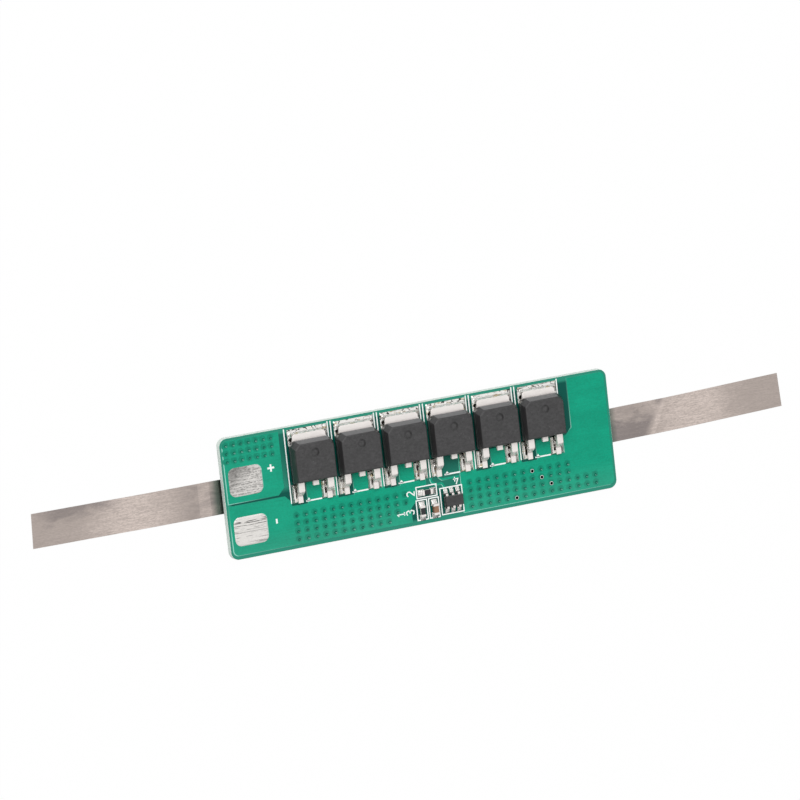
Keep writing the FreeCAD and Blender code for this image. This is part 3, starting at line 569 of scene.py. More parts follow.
def epoxy_material(name, base, dimple=None):
    """Transfer-moulded epoxy: charcoal, with a matt spark-eroded top and smoother drafted sides, and the rear
    face painted paler as light from behind. The ejector pin leaves a dimple; where dimple gives the first
    one's place, in millimetres, a darker ring round it is painted as shade, heaviest on its right."""
    material, tree = start_material(name)
    place = place_in_mm(tree)
    normal = add(tree, "NewGeometry", out="Normal")
    upward = add(tree, "SeparateXYZ", normal, out=2)
    top = add(tree, "MapRange", upward, 0.6, 0.95)
    grain = pattern(tree, place, (0.07, 0.07, 0.07), detail=4, roughness=0.7)
    smear_and_reflection = pattern(tree, place, (1.4, 1.0, 1.0), detail=2)
    speckle = pattern(tree, place, (0.4, 0.3, 0.3), detail=3, roughness=0.7)
    # A few pale scuffs from the tube that the parts were shipped in
    scuff = pattern(tree, place, (0.2, 0.5, 0.3), detail=2)
    colour = shade(base, 0.75)
    for uneven, start, end, most, factor in (
            (grain, 0.3, 0.7, 1.0, 1.25), (smear_and_reflection, 0.4, 0.7, 0.5, 1.5), (speckle, 0.35, 0.65, 0.8, 0.5),
            (scuff, 0.7, 0.78, 0.5, 3.5)):
        amount = add(tree, "MapRange", uneven, start, end, 0.0, most)
        colour = add(tree, "Mix", {0: amount, 6: colour, 7: shade(base, factor)}, out=2, data_type="RGBA")
    # Painted light: the rear face is painted much paler, as if lit from behind
    rearward = add(tree, "SeparateXYZ", normal, out=1)
    rear_light = add(tree, "MapRange", rearward, 0.8, 0.95)
    side = add(tree, "Mix", {0: rear_light, 6: shade(base, 0.8), 7: shade(base, 3.2)}, out=2, data_type="RGBA")
    colour = add(tree, "Mix", {0: top, 6: side, 7: colour}, out=2, data_type="RGBA")
    if dimple:
        # Painted shade: a darker ring round each dimple, heaviest on its right and broken up at random
        pitch = CENTRES[1] - CENTRES[0]
        offset, inside = regular_offset(tree, place, dimple, (pitch, pitch), (len(CENTRES), 1))
        away = add(tree, "VectorMath", offset, out="Value", operation="LENGTH")
        from_ring = add(tree, "Math", away, 0.5, operation="SUBTRACT")
        from_ring = add(tree, "Math", from_ring, operation="ABSOLUTE")
        shadow = add(tree, "VectorMath", offset, (0.9, 0.3, 0), out="Value", operation="DOT_PRODUCT")
        ring = add(tree, "Math", add(tree, "MapRange", from_ring, 0.22, 0.08),
                   add(tree, "MapRange", shadow, -0.4, 0.4, 0.3, 1.0), operation="MULTIPLY")
        weight = add(tree, "MapRange", pattern(tree, place, (0.5, 0.5, 0.5)), 0.35, 0.6, 0.5, 1.0)
        ring = add(tree, "Math", ring, inside, operation="MULTIPLY")
        ring = add(tree, "Math", ring, weight, operation="MULTIPLY")
        colour = add(tree, "Mix", {0: ring, 6: colour, 7: shade(base, 0.1)}, out=2, data_type="RGBA")
    close_surface(tree, grain, 0.012, Base_Color=colour,
                  Roughness=add(tree, "MapRange", top, 0.0, 1.0, 0.3, 0.62), Specular_IOR_Level=0.6)
    return material


def plain_material(name, colour, roughness, grain_mm, depth_mm, specular=0.5):
    """Fired or glazed surface with a fine grain."""
    material, tree = start_material(name)
    grain = pattern(tree, place_in_mm(tree), (grain_mm,) * 3, detail=3)
    amount = add(tree, "MapRange", grain, 0.3, 0.7)
    tone = add(tree, "Mix", {0: amount, 6: shade(colour, 0.85), 7: shade(colour, 1.1)}, out=2,
               data_type="RGBA")
    close_surface(tree, grain, depth_mm, Base_Color=tone, Roughness=roughness, Specular_IOR_Level=specular)
    return material


FINISHES = {}


def finish(name):
    """The named material, made the first time it is asked for."""
    if name not in FINISHES:
        package = settings("package")
        makers = {
            "mask": solder_mask_material,
            "ink": ink_material,
            "pad_plus": lambda: levelled_tin_material("levelled_tin_mottled", False),
            "pad_minus": lambda: levelled_tin_material("levelled_tin_streaked", True),
            "solder": lambda: solder_material("reflowed_solder", 0.0),
            "hand_solder": lambda: solder_material("dulled_solder", 0.33),
            "tin": lambda: lead_tin_material("matt_tin_plating", 0.5),
            "tab_tin": lambda: lead_tin_material("chalky_tin_plating", 0.12),
            "chip_tin": lambda: lead_tin_material("tin_plating_dark_slopes", 0.8, 0.2),
            "rim": rim_tin_material,
            "nickel": nickel_material,
            "epoxy": lambda: epoxy_material("moulded_epoxy", package.epoxy, (CENTRES[0], DIMPLE_Y)),
            "chip_epoxy": lambda: epoxy_material("moulded_epoxy_fine", package.chip_epoxy),
            # Fired lead-glass over the resistive film: dark and shiny
            "glass": lambda: plain_material("fired_glass_film", package.glass, 0.25, 0.06, 0.003),
            # Pressed alumina: dull white with a fine tooth
            "alumina": lambda: plain_material("pressed_alumina", package.alumina, 0.6, 0.05, 0.004),
            # Sintered barium titanate: brown, slightly waxy
            "titanate": lambda: plain_material("sintered_titanate", package.titanate, 0.45, 0.09, 0.004),
        }
        FINISHES[name] = makers[name]()
    return FINISHES[name]


# Meshes


def add_piece(name, mesh, finish_name, slot_name, nodes=()):
    """Adds a mesh as a piece of the object, with its finish, in place of the CAD nodes it stands for."""
    obj = bpy.data.objects.new(name, mesh)
    bpy.context.scene.collection.objects.link(obj)
    mesh.materials.clear()
    mesh.materials.append(finish(finish_name))
    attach(obj, ROOT)
    if nodes:
        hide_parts(*nodes)
    return obj


def mesh_from(name, bm, smooth=True, corner=34):
    """Mesh from the working shape; edges sharper than the corner angle stay sharp."""
    mesh = bpy.data.meshes.new(name)
    bm.normal_update()
    bm.to_mesh(mesh)
    bm.free()
    if smooth:
        mesh.shade_smooth()
        mesh.set_sharp_from_angle(angle=math.radians(corner))
        for face in mesh.polygons:
            face.use_smooth = abs(face.normal.z) < 0.9999
    return mesh


def cad_shape(node):
    """A joined-up copy of a CAD node's mesh with its flat faces whole again."""
    bm = bmesh.new()
    bm.from_mesh(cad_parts[node].data)
    bmesh.ops.remove_doubles(bm, verts=bm.verts, dist=1e-3 * MM)
    bmesh.ops.dissolve_limit(bm, angle_limit=math.radians(1), verts=bm.verts, edges=bm.edges)
    return bm


def ease_edges(bm, radius, corner=25, segments=2):
    """Rounds every edge that is sharper than the corner angle."""
    edges = [e for e in bm.edges if len(e.link_faces) == 2 and e.calc_face_angle(0) > math.radians(corner)]
    bmesh.ops.bevel(bm, geom=edges, offset=radius, segments=segments, profile=0.5, affect="EDGES",
                    clamp_overlap=True)


def eased_copy(node, finish_name, slot_name, radius, segments=2):
    """A CAD node again, with rounded edges."""
    bm = cad_shape(node)
    ease_edges(bm, radius, segments=segments)
    return add_piece(node + "_eased", mesh_from(node + "_eased", bm), finish_name, slot_name, (node,))


def bent_lead(node, radius):
    """A lead again, with the large radii of its bends and with eased edges."""
    bm = cad_shape(node)
    bends = [e for e in bm.edges if len(e.link_faces) == 2
             and abs((e.verts[1].co - e.verts[0].co).normalized().x) > 0.99
             and math.radians(15) < e.calc_face_angle(0) < math.radians(75)]
    bmesh.ops.bevel(bm, geom=bends, offset=0.24 * MM, segments=5, profile=0.5, affect="EDGES",
                    clamp_overlap=True)
    ease_edges(bm, radius)
    add_piece(node + "_bent", mesh_from(node + "_bent", bm), "tin", "plated_lead", (node,))


def smoothstep(start, end, value):
    share = max(0.0, min(1.0, (value - start) / (end - start)))
    return share * share * (3 - 2 * share)


def wobble(x, y, seed, size):
    """Smooth noise between about -1 and 1, with the given grain in millimetres."""
    return noise.noise(Vector((x / size, y / size, seed * 7.31)))


def relief_sheet(bm, x_range, y_range, floor, height_at, shade_and_reflection_at, pitch):
    """Adds a closed block whose top follows height_at(x, y), in millimetres; the function after it gives
    each vertex its painted shade and reflection.
    """
    shade_and_reflection = bm.verts.layers.float.get("shade_and_reflection") or bm.verts.layers.float.new("shade_and_reflection")
    columns = max(2, round((x_range[1] - x_range[0]) / pitch))
    rows = max(2, round((y_range[1] - y_range[0]) / pitch))
    top, bottom = [], []
    for j in range(rows + 1):
        y = y_range[0] + (y_range[1] - y_range[0]) * j / rows
        line = []
        for i in range(columns + 1):
            x = x_range[0] + (x_range[1] - x_range[0]) * i / columns
            vert = bm.verts.new(Vector((x, y, height_at(x, y))) * MM)
            vert[shade_and_reflection] = shade_and_reflection_at(x, y)
            line.append(vert)
        top.append(line)
    edge = ([(0, i) for i in range(columns)] + [(j, columns) for j in range(rows)]
            + [(rows, i) for i in range(columns, 0, -1)] + [(j, 0) for j in range(rows, 0, -1)])
    for j in range(rows):
        for i in range(columns):
            bm.faces.new((top[j][i], top[j][i + 1], top[j + 1][i + 1], top[j + 1][i]))
    for j, i in edge:
        co = top[j][i].co
        bottom.append(bm.verts.new((co.x, co.y, floor * MM)))
    for k, (j, i) in enumerate(edge):
        following = (k + 1) % len(edge)
        nj, ni = edge[following]
        bm.faces.new((top[j][i], bottom[k], bottom[following], top[nj][ni]))
    bm.faces.new(bottom[::-1])


# Board


def slope_copper_edges(bm, slope):
    """Moves the foot of each copper wall outwards, so that the mask runs down off it.

    On the sides that carry the painted highlight, the foot goes further, and the brow is drawn back
    where it is clear of the small parts' fine tracks, so that the highlit slope is wider."""
    def facing(normal):
        return max(0.0, normal.dot(HIGHLIT_SIDE))

    def spread(vert, step):
        walls = [f.normal for f in vert.link_faces
                 if abs(f.normal.z) < 0.1 and max(v.co.z for v in f.verts) / MM > BOARD_TOP + 0.01
                 and min(v.co.z for v in f.verts) / MM > BOARD_TOP - 0.01]
        if len(walls) < 2:
            return sum((step(wall) for wall in walls), Vector())
        return (step(walls[0]) + step(walls[1])) / max(1 + walls[0].dot(walls[1]), 0.5)

    shifts = {}
    for vert in bm.verts:
        if abs(vert.co.z / MM - BOARD_TOP) < SAME_HEIGHT:
            shifts[vert] = spread(vert, lambda normal: normal * slope * (1 + 0.6 * facing(normal)))
        elif (abs(vert.co.z / MM - POUR_TOP) < SAME_HEIGHT
              and abs(vert.co.x / MM - PARTS_MIDDLE) > PARTS_REACH):
            shifts[vert] = spread(vert, lambda normal: normal * slope * -0.9 * facing(normal))
    for vert, shift in shifts.items():
        vert.co += Vector((shift.x, shift.y, 0))


def round_via_pits(bm):
    """Gives each tented via a round dimple, where the mask sags in, in place of the CAD's facets."""
    corners, sides = 6, 12
    mouth_radius = 0.37
    # Radius and depth of each ring of the dimple, and its depth in the middle, in millimetres
    profile = ((0.3, 0.0), (0.23, -0.006), (0.175, -0.03), (0.13, -0.08), (0.08, -0.12))
    deepest = -0.13

    def bearing(vert):
        return math.atan2(vert.co.y / MM - middle.y, vert.co.x / MM - middle.x)

    def around(radius, k, count, depth):
        turn = start + math.tau * k / count
        x, y = middle.x + radius * math.cos(turn), middle.y + radius * math.sin(turn)
        return Vector((x, y, POUR_TOP + depth)) * MM

    floors = [f for f in bm.faces if len(f.verts) == corners and f.normal.z > 0.9
              and BOARD_TOP - 0.12 < f.calc_center_median().z / MM < POUR_TOP - 0.08
              and f.calc_area() < (0.3 * MM) ** 2]
    for floor in floors:
        middle = floor.calc_center_median() / MM
        walls = {f for v in floor.verts for f in v.link_faces if f is not floor}
        mouth = {v for f in walls for v in f.verts if v.co.z / MM > POUR_TOP - 0.002}
        bmesh.ops.delete(bm, geom=[floor, *walls], context="FACES")
        mouth = sorted(mouth, key=bearing)
        start = bearing(mouth[0])
        for k, vert in enumerate(mouth):
            vert.co = around(mouth_radius, k, corners, 0.0)
        rings = [[bm.verts.new(around(radius, k, sides, depth)) for k in range(sides)]
                 for radius, depth in profile]
        for k in range(corners):
            outer, following = mouth[k], mouth[(k + 1) % corners]
            a, b, c = (rings[0][(2 * k + step) % sides] for step in range(3))
            bm.faces.new((outer, b, a))
            bm.faces.new((outer, following, b))
            bm.faces.new((following, c, b))
        for wide, narrow in zip(rings, rings[1:]):
            for k in range(sides):
                n = (k + 1) % sides
                bm.faces.new((wide[k], wide[n], narrow[n], narrow[k]))
        foot = bm.verts.new(Vector((middle.x, middle.y, POUR_TOP + deepest)) * MM)
        for k in range(sides):
            bm.faces.new((rings[-1][k], rings[-1][(k + 1) % sides], foot))


def sloped_board():
    """The board's shape, with the mask running down off each copper edge and sagging into each tented via."""
    bm = cad_shape("circuit_board")
    slope_copper_edges(bm, settings("board").slope)
    round_via_pits(bm)
    rim = [e for e in bm.edges
           if len(e.link_faces) == 2 and e.calc_face_angle(0) > math.radians(60)
           and all(abs(v.co.z / MM - BOARD_TOP) < SAME_HEIGHT for v in e.verts)]
    bmesh.ops.bevel(bm, geom=rim, offset=0.06 * MM, segments=2, profile=0.5, affect="EDGES",
                    clamp_overlap=True)
    bmesh.ops.dissolve_degenerate(bm, dist=1e-4 * MM, edges=bm.edges)
    bmesh.ops.triangulate(bm, faces=[face for face in bm.faces if len(face.verts) > 4])
    return mesh_from("board_sloped", bm, corner=15)


# Printed marks


def ribbon(bm, points, width, floor, top, closed=False, wander=0.012):
    """Printed line along the points, in millimetres, with edges that wander a little as ink does."""
    path = []
    count = len(points)
    spans = count if closed else count - 1
    for k in range(spans):
        start, end = Vector(points[k]), Vector(points[(k + 1) % count])
        steps = max(1, round((end - start).length / 0.35))
        path.extend(start.lerp(end, s / steps) for s in range(steps))
    if not closed:
        path.append(Vector(points[-1]))
    rings = []
    total = len(path)
    for k, here in enumerate(path):
        back = path[(k - 1) % total] if closed or k else here
        ahead = path[(k + 1) % total] if closed or k < total - 1 else here
        first = (here - back).normalized() if here != back else (ahead - here).normalized()
        last = (ahead - here).normalized() if here != ahead else first
        normal = Vector((-first.y - last.y, first.x + last.x))
        normal = normal / max(0.6, normal.length_squared / 2)
        ring = []
        for side in (1, -1):
            reach = side * (width / 2 + wander * wobble(here.x, here.y, 3 + side, 0.3))
            edge = here + normal * reach
            for z in (floor, top) if side > 0 else (top, floor):
                ring.append(bm.verts.new(Vector((edge.x, edge.y, z)) * MM))
        rings.append(ring)
    last_ring = total if closed else total - 1
    for k in range(last_ring):
        a, b = rings[k], rings[(k + 1) % total]
        for i in range(4):
            j = (i + 1) % 4
            bm.faces.new((a[i], a[j], b[j], b[i]))
    if not closed:
        bm.faces.new(rings[0][::-1])
        bm.faces.new(rings[-1])


def add_prism(bm, corners, floor, top):
    """Printed patch that fills the corners, in millimetres."""
    lower = [bm.verts.new(Vector((x, y, floor)) * MM) for x, y in corners]
    upper = [bm.verts.new(Vector((x, y, top)) * MM) for x, y in corners]
    bm.faces.new(lower[::-1])
    bm.faces.new(upper)
    for i in range(len(corners)):
        j = (i + 1) % len(corners)
        bm.faces.new((lower[i], lower[j], upper[j], upper[i]))


# Strokes of each number, in a box about one unit wide and high
DIGITS = {
    "1": [[(0.15, 0.75), (0.5, 1.0), (0.5, 0.0)], [(0.15, 0.0), (0.85, 0.0)]],
    "2": [[(0.05, 0.85), (0.3, 1.0), (0.7, 1.0), (0.95, 0.8), (0.95, 0.6), (0.05, 0.0), (0.95, 0.0)]],
    "3": [[(0.05, 0.9), (0.35, 1.0), (0.75, 1.0), (0.95, 0.75), (0.75, 0.55), (0.4, 0.55)],
          [(0.75, 0.55), (0.95, 0.3), (0.75, 0.0), (0.3, 0.0), (0.05, 0.12)]],
    "4": [[(0.75, 0.0), (0.75, 0.62)], [(0.5, 1.0), (0.0, 0.28), (1.1, 0.28)]],
}


def digit(bm, text, x, y, height, turn, width, floor, top):
    """Printed number, its lower left corner at (x, y) before it is turned about that point."""
    spin = Matrix.Rotation(math.radians(turn), 2)
    for stroke in DIGITS[text]:
        points = [spin @ Vector((a * height * 0.62, b * height)) + Vector((x, y)) for a, b in stroke]
        ribbon(bm, points, width, floor, top, wander=0.006)


# Printed frames round the small parts: left, front, right and rear side, in millimetres
FRAMES = (
    (-1.15, -4.975, 2.03, -3.325),
    (-1.35, -8.175, 0.3, -5.275),
    (0.61, -8.175, 2.17, -5.275),
    (2.55, -8.015, 6.0, -4.145),
)
# Printed numbers: text, place, height, turn in degrees and line width
NUMBERS = (
    ("2", (-1.5, -4.475), 1.15, 90, 0.17),
    ("1", (-3.35, -7.175), 1.15, 90, 0.17),
    ("3", (-1.85, -7.175), 1.15, 90, 0.17),
    ("4", (5.55, -2.825), 1.1, 180, 0.15),
)
# Where the plus beside its output pad has its middle, and the minus its two ends
PLUS = (-23.15, 3.475)
MINUS = ((-23.15, -4.665), (-23.15, -3.995))


def plus_sign(bm, x, y, reach, width, floor, top):
    """Printed plus whose four arms reach out from (x, y)."""
    half = width / 2
    quarter = [(half, half), (half, reach), (-half, reach)]
    corners = [(x + a * math.cos(t) - b * math.sin(t), y + a * math.sin(t) + b * math.cos(t))
               for t in (0, math.pi / 2, math.pi, 3 * math.pi / 2) for a, b in quarter]
    add_prism(bm, corners, floor, top)


def printed_marks():
    """Adds the transistors' outlines, the frames, the two signs and the numbers, all in raised ink."""
    look = settings("board")
    width = look.ink_width / MM
    floor, top = BOARD_TOP - 0.01, POUR_TOP + look.ink_height / MM
    bm = bmesh.new()
    for name, centre in zip(TRANSISTORS, CENTRES):
        base = low(name + "_solder").y + 0.16
        head = BOARD_HIGH.y - 0.22
        for x in (centre - 3.57, centre + 3.25):
            ribbon(bm, [(x, head), (x, base)], width, floor, top)
        ribbon(bm, [(centre - 1.3, base), (centre + 1.2, base)], width * 1.25, floor, top)
        peak = [(centre - 1.2, base), (centre - 0.5, base), (centre - 0.85, base + 0.45)]
        add_prism(bm, peak, floor, top)
    for left, front, right, rear in FRAMES:
        corners = [(left, front), (right, front), (right, rear), (left, rear)]
        ribbon(bm, corners, width, floor, top, closed=True)
    plus_sign(bm, *PLUS, 0.53, 0.27, floor, top)
    ribbon(bm, MINUS, 0.28, floor, top)
    for text, (x, y), height, turn, line in NUMBERS:
        digit(bm, text, x, y, height, turn, line, floor, top)
    add_piece("printed_marks", mesh_from("printed_marks", bm), "ink", "solder_mask")


# Pads, strips and solder


def rounded_outline(x_range, y_range, radius, steps=8):
    """Points round a rectangle with rounded corners."""
    points = []
    for cx, cy, start in ((x_range[1], y_range[1], 0), (x_range[0], y_range[1], 90),
                          (x_range[0], y_range[0], 180), (x_range[1], y_range[0], 270)):
        mx = cx - radius if cx == x_range[1] else cx + radius
        my = cy - radius if cy == y_range[1] else cy + radius
        for k in range(steps + 1):
            turn = math.radians(start + 90 * k / steps)
            points.append((mx + radius * math.cos(turn), my + radius * math.sin(turn)))
    return points


def dragged_pad(node, finish_name, seed):
    """An output pad whose tin has dried in low ripples, dragged along the board."""
    a, b = low(node), high(node)
    rings = 26
    outline = rounded_outline((a.x, b.x), (a.y, b.y), radius=0.95)
    middle = Vector(((a.x + b.x) / 2, (a.y + b.y) / 2))
    dense = []
    for k, point in enumerate(outline):
        start, end = Vector(point), Vector(outline[(k + 1) % len(outline)])
        steps = max(1, round((end - start).length / 0.12))
        dense.extend(start.lerp(end, s / steps) for s in range(steps))
    bm = bmesh.new()
    layers = []
    for ring in range(rings):
        share = ring / rings
        line = []
        for point in dense:
            here = point.lerp(middle, share)
            depth = (here - point).length
            ripple = 0.016 * wobble(here.x * 0.35, here.y * 2.2, seed, 0.8)
            lump = ripple + 0.008 * wobble(here.x, here.y, seed, 0.3)
            crown = 0.62 + 0.38 * smoothstep(0, 0.18, depth)
            z = a.z + (b.z - a.z) * crown + lump * smoothstep(0, 0.3, depth)
            line.append(bm.verts.new(Vector((here.x, here.y, min(z, b.z + 0.02))) * MM))
        layers.append(line)
    foot = [bm.verts.new(Vector((p.x, p.y, a.z)) * MM) for p in dense]
    layers.insert(0, foot)
    count = len(dense)
    for lower, upper in zip(layers, layers[1:]):
        for k in range(count):
            n = (k + 1) % count
            bm.faces.new((lower[k], lower[n], upper[n], upper[k]))
    peak = bm.verts.new(Vector((middle.x, middle.y, b.z)) * MM)
    for k in range(count):
        bm.faces.new((layers[-1][k], layers[-1][(k + 1) % count], peak))
    bm.faces.new(foot[::-1])
    add_piece(node + "_dragged", mesh_from(node + "_dragged", bm), finish_name, "tinned_copper", (node,))


def nickel_strip(node, seed, sway):
    """A cut length of nickel strip that bows a little."""
    wave = settings("metal").wave / MM
    bm = cad_shape(node)
    corners = {(round(v.co.x / MM, 4), round(v.co.y / MM, 4)) for v in bm.verts}
    corners = sorted(corners, key=lambda p: abs(p[0]))
    bm.free()
    near, far = (sorted(end, key=lambda p: p[1]) for end in (corners[:2], corners[2:]))
    underside = low(node).z
    thick = high(node).z - underside
    columns, rows = 110, 16
    bm = bmesh.new()
    sheets = []
    for level in (0.0, thick):
        sheet = []
        for i in range(columns + 1):
            u = i / columns
            line = []
            for j in range(rows + 1):
                v = j / rows
                start = Vector(near[0]).lerp(Vector(near[1]), v)
                end = Vector(far[0]).lerp(Vector(far[1]), v)
                here = start.lerp(end, u)
                free = max(0.0, abs(here.x) - BOARD_HIGH.x)
                here += Vector((-0.3 * u, sway * smoothstep(0.0, 14.0, free)))
                rise = smoothstep(0.5, 9.0, free) * (0.55 + 0.45 * wobble(here.x, here.y * 0.6, seed, 9.0))
                rise += 0.4 * (1 - smoothstep(0.0, 0.9, abs(here.x - 0.5 * here.y - CREASE)))
                ripple = 0.16 * smoothstep(0.5, 3.0, free) * wobble(here.x, here.y, seed + 2, 2.6)
                z = underside + level + wave * (rise + ripple + 0.2 * smoothstep(0.5, 4, free))
                line.append(bm.verts.new(Vector((here.x, here.y, z)) * MM))
            sheet.append(line)
        sheets.append(sheet)
    under, over = sheets
    for i in range(columns):
        for j in range(rows):
            bm.faces.new((over[i][j], over[i + 1][j], over[i + 1][j + 1], over[i][j + 1]))
            bm.faces.new((under[i][j], under[i][j + 1], under[i + 1][j + 1], under[i + 1][j]))
    for i in range(columns):
        bm.faces.new((under[i][0], under[i + 1][0], over[i + 1][0], over[i][0]))
        bm.faces.new((under[i + 1][rows], under[i][rows], over[i][rows], over[i + 1][rows]))
    for j in range(rows):
        bm.faces.new((under[0][j + 1], under[0][j], over[0][j], over[0][j + 1]))
        bm.faces.new((under[columns][j], under[columns][j + 1], over[columns][j + 1], over[columns][j]))
    bmesh.ops.recalc_face_normals(bm, faces=bm.faces)
    add_piece(node + "_bowed", mesh_from(node + "_bowed", bm), "nickel", "nickel", (node,))


def drain_solder(bm, index, name):
    """Solder pooled round a drain plate on its pad."""
    lump = settings("metal").lump / MM
    tab_low, tab_high = low(name + "_drain_tab"), high(name + "_drain_tab")
    centre = CENTRES[index]
    x_range = (centre - 3.1, centre + 3.1)
    y_range = (low(name + "_body").y + 2.0, BOARD_HIGH.y - 0.45)
    half = (tab_high.x - tab_low.x) / 2
    back = high(name + "_body").y

    def height_at(x, y):
        inset = min(x - x_range[0], x_range[1] - x, y_range[1] - y)
        gap = max(abs(x - centre) - half, y - tab_high.y)
        if gap < 0:
            return SEAT - 0.01
        rounding = smoothstep(-0.02, 0.22, inset)
        climb = 0.36 * (1 - smoothstep(0.0, 0.3, gap)) ** 2
        free = smoothstep(back - 0.1, back + 0.3, y)
        waves = wobble(x, y, index, 0.8) + 0.5 * wobble(x, y, index + 9, 0.35)
        return BOARD_TOP + 0.03 + rounding * (0.07 + free * (climb + lump * (0.6 + waves)))

    # Painted shade round the plate, and painted reflections in dark lines and of the body at its left corner
    def shade_and_reflection_at(x, y):
        gap = max(abs(x - centre) - half, y - tab_high.y)
        outline = smoothstep(-0.02, 0.03, gap) * (1 - smoothstep(0.06, 0.13, gap))
        reflection_line = 1 - min(1.0, abs(wobble(x * 0.5, y, index + 30, 0.42)) / 0.2)
        reflection_lines = 0.72 * reflection_line * smoothstep(0.2, 0.32, gap)
        corner = 1 - smoothstep(0.2, 0.5, math.hypot(x - centre + half + 0.05, y - back - 0.1))
        return max(0.5 * outline, reflection_lines, 0.7 * corner)

    relief_sheet(bm, x_range, y_range, BOARD_TOP, height_at, shade_and_reflection_at, pitch=0.075)


def lead_solder(bm, index, name, lead):
    """Solder drawn up round the foot of a lead."""
    lump = settings("metal").lump / MM
    foot_low, foot_high = low(name + "_" + lead + "_lead"), high(name + "_" + lead + "_lead")
    middle = (foot_low.x + foot_high.x) / 2
    toe = foot_low.y
    rear = toe - 0.12 + 2.85
    x_range = (middle - 1.0, middle + (0.58 if lead == "gate" else 1.075))
    y_range = (toe - 0.03, rear)
    seed = index * 2 + (5 if lead == "gate" else 31)
    # How far the lead's foot reaches to each side of its middle
    left_reach, right_reach = 0.36, 0.38

    def height_at(x, y):
        inset = min(x - x_range[0], x_range[1] - x, y - y_range[0], y_range[1] - y)
        left, right, front = middle - left_reach - x, x - middle - right_reach, toe - y
        if left < -0.02 and right < -0.02 and front < 0:
            return SEAT - 0.01
        rounding = smoothstep(-0.02, 0.18, inset)
        along = 1 - smoothstep(toe + 1.2, toe + 2.2, y)
        if left > 0:
            climb = (0.4 * along * (1 - smoothstep(0.0, 0.2, left)) ** 2
                     + 0.2 * smoothstep(0.1, 0.28, left) * (0.75 + 0.25 * wobble(x, y, seed + 3, 0.8)))
        elif right > 0:
            climb = 0.32 * along * max(0.0, 1 - right / 0.62)
        else:
            climb = 0.2 * (1 - smoothstep(0.0, 0.1, front))
        waves = wobble(x, y, seed, 0.7) + 0.5 * wobble(x, y, seed + 9, 0.35)
        return BOARD_TOP + 0.03 + rounding * (0.07 + climb + lump * (0.5 + waves))

    # Painted shade and reflection: in the hollow left of the foot, in the crease at its right and near the
    # body
    def shade_and_reflection_at(x, y):
        left, right = middle - left_reach - x, x - middle - right_reach
        valley = smoothstep(-0.02, 0.04, left) * (1 - smoothstep(0.16, 0.34, left))
        rise = 0.3 + 0.7 * smoothstep(toe + 0.3, toe + 1.0, y)
        squiggle = 1 - min(1.0, abs(wobble(x, y * 0.5, seed + 40, 0.45)) / 0.25)
        hollow = valley * rise * (0.42 + 0.5 * squiggle)
        crease = 0.5 * smoothstep(-0.03, 0.02, right) * (1 - smoothstep(0.05, 0.12, right))
        shadowed = 0.42 * smoothstep(rear - 0.5, rear - 0.2, y)
        return max(hollow, crease, shadowed)

    relief_sheet(bm, x_range, y_range, BOARD_TOP, height_at, shade_and_reflection_at, pitch=0.06)


# Stage


def stage_material():
    """Matt white sweep, which the camera and reflections see as white apart from the object's soft shadow."""
    look = settings("stage")
    material, tree = start_material("white_sweep")
    paths = add(tree, "LightPath").node.outputs
    seen = add(tree, "Math", paths["Is Camera Ray"], paths["Is Glossy Ray"], operation="MAXIMUM")
    seen = add(tree, "Math", seen, paths["Is Transmission Ray"], operation="MAXIMUM")
    lit = add(tree, "BsdfDiffuse", {"Color": opaque(look.floor)})
    white = add(tree, "Emission", {"Color": (1, 1, 1, 1), "Strength": 1.0})
    amount = add(tree, "Math", seen, 0.98, operation="MULTIPLY")
    both = add(tree, "MixShader", amount, lit, white)
    add(tree, "OutputMaterial", both)
    return material


def add_floor():
    bm = bmesh.new()
    half = 2.5
    outline = (-half, -half), (half, -half), (half, half), (-half, half)
    corners = [bm.verts.new((x, y, 0)) for x, y in outline]
    bm.faces.new(corners)
    mesh = mesh_from("floor", bm, smooth=False)
    mesh.materials.append(stage_material())
    floor = bpy.data.objects.new("floor", mesh)
    floor.location.z = -0.02 * MM
    bpy.context.scene.collection.objects.link(floor)


def add_world():
    """White room lit from overhead, dim towards its floor all round and dimmest in front of the board."""
    look = settings("stage")
    world = bpy.data.worlds.new("white_room")
    bpy.context.scene.world = world
    world.use_nodes = True
    tree = world.node_tree
    tree.nodes.clear()
    paths = add(tree, "LightPath").node.outputs
    direction = add(tree, "TexCoord", out="Generated")
    y, z = add(tree, "SeparateXYZ", direction, out=slice(1, 3))
    overhead = add(tree, "MapRange", z, 0.2, 0.7, 0.07 * look.world_level, look.world_level,
                   interpolation_type="SMOOTHSTEP")
    rear = add(tree, "MapRange", y, -0.95, -0.25, 0.6, 1.0)
    level = add(tree, "Math", overhead, rear, operation="MULTIPLY")
    room = add(tree, "Background", {"Color": (1, 1, 1, 1), "Strength": level})
    white = add(tree, "Background", {"Color": (1, 1, 1, 1), "Strength": 1.0})
    both = add(tree, "MixShader", paths["Is Camera Ray"], room, white)
    add(tree, "OutputWorld", both)


def add_lamp(name, place, aim, size, power):
    """Adds a large soft lamp, its place and size in metres and its power in watts."""
    data = bpy.data.lights.new(name, "AREA")
    data.shape = "RECTANGLE"
    data.size, data.size_y = size
    data.energy = power
    lamp = bpy.data.objects.new(name, data)
    lamp.location = place
    lamp.rotation_euler = (Vector(aim) - Vector(place)).to_track_quat("-Z", "Y").to_euler()
    bpy.context.scene.collection.objects.link(lamp)


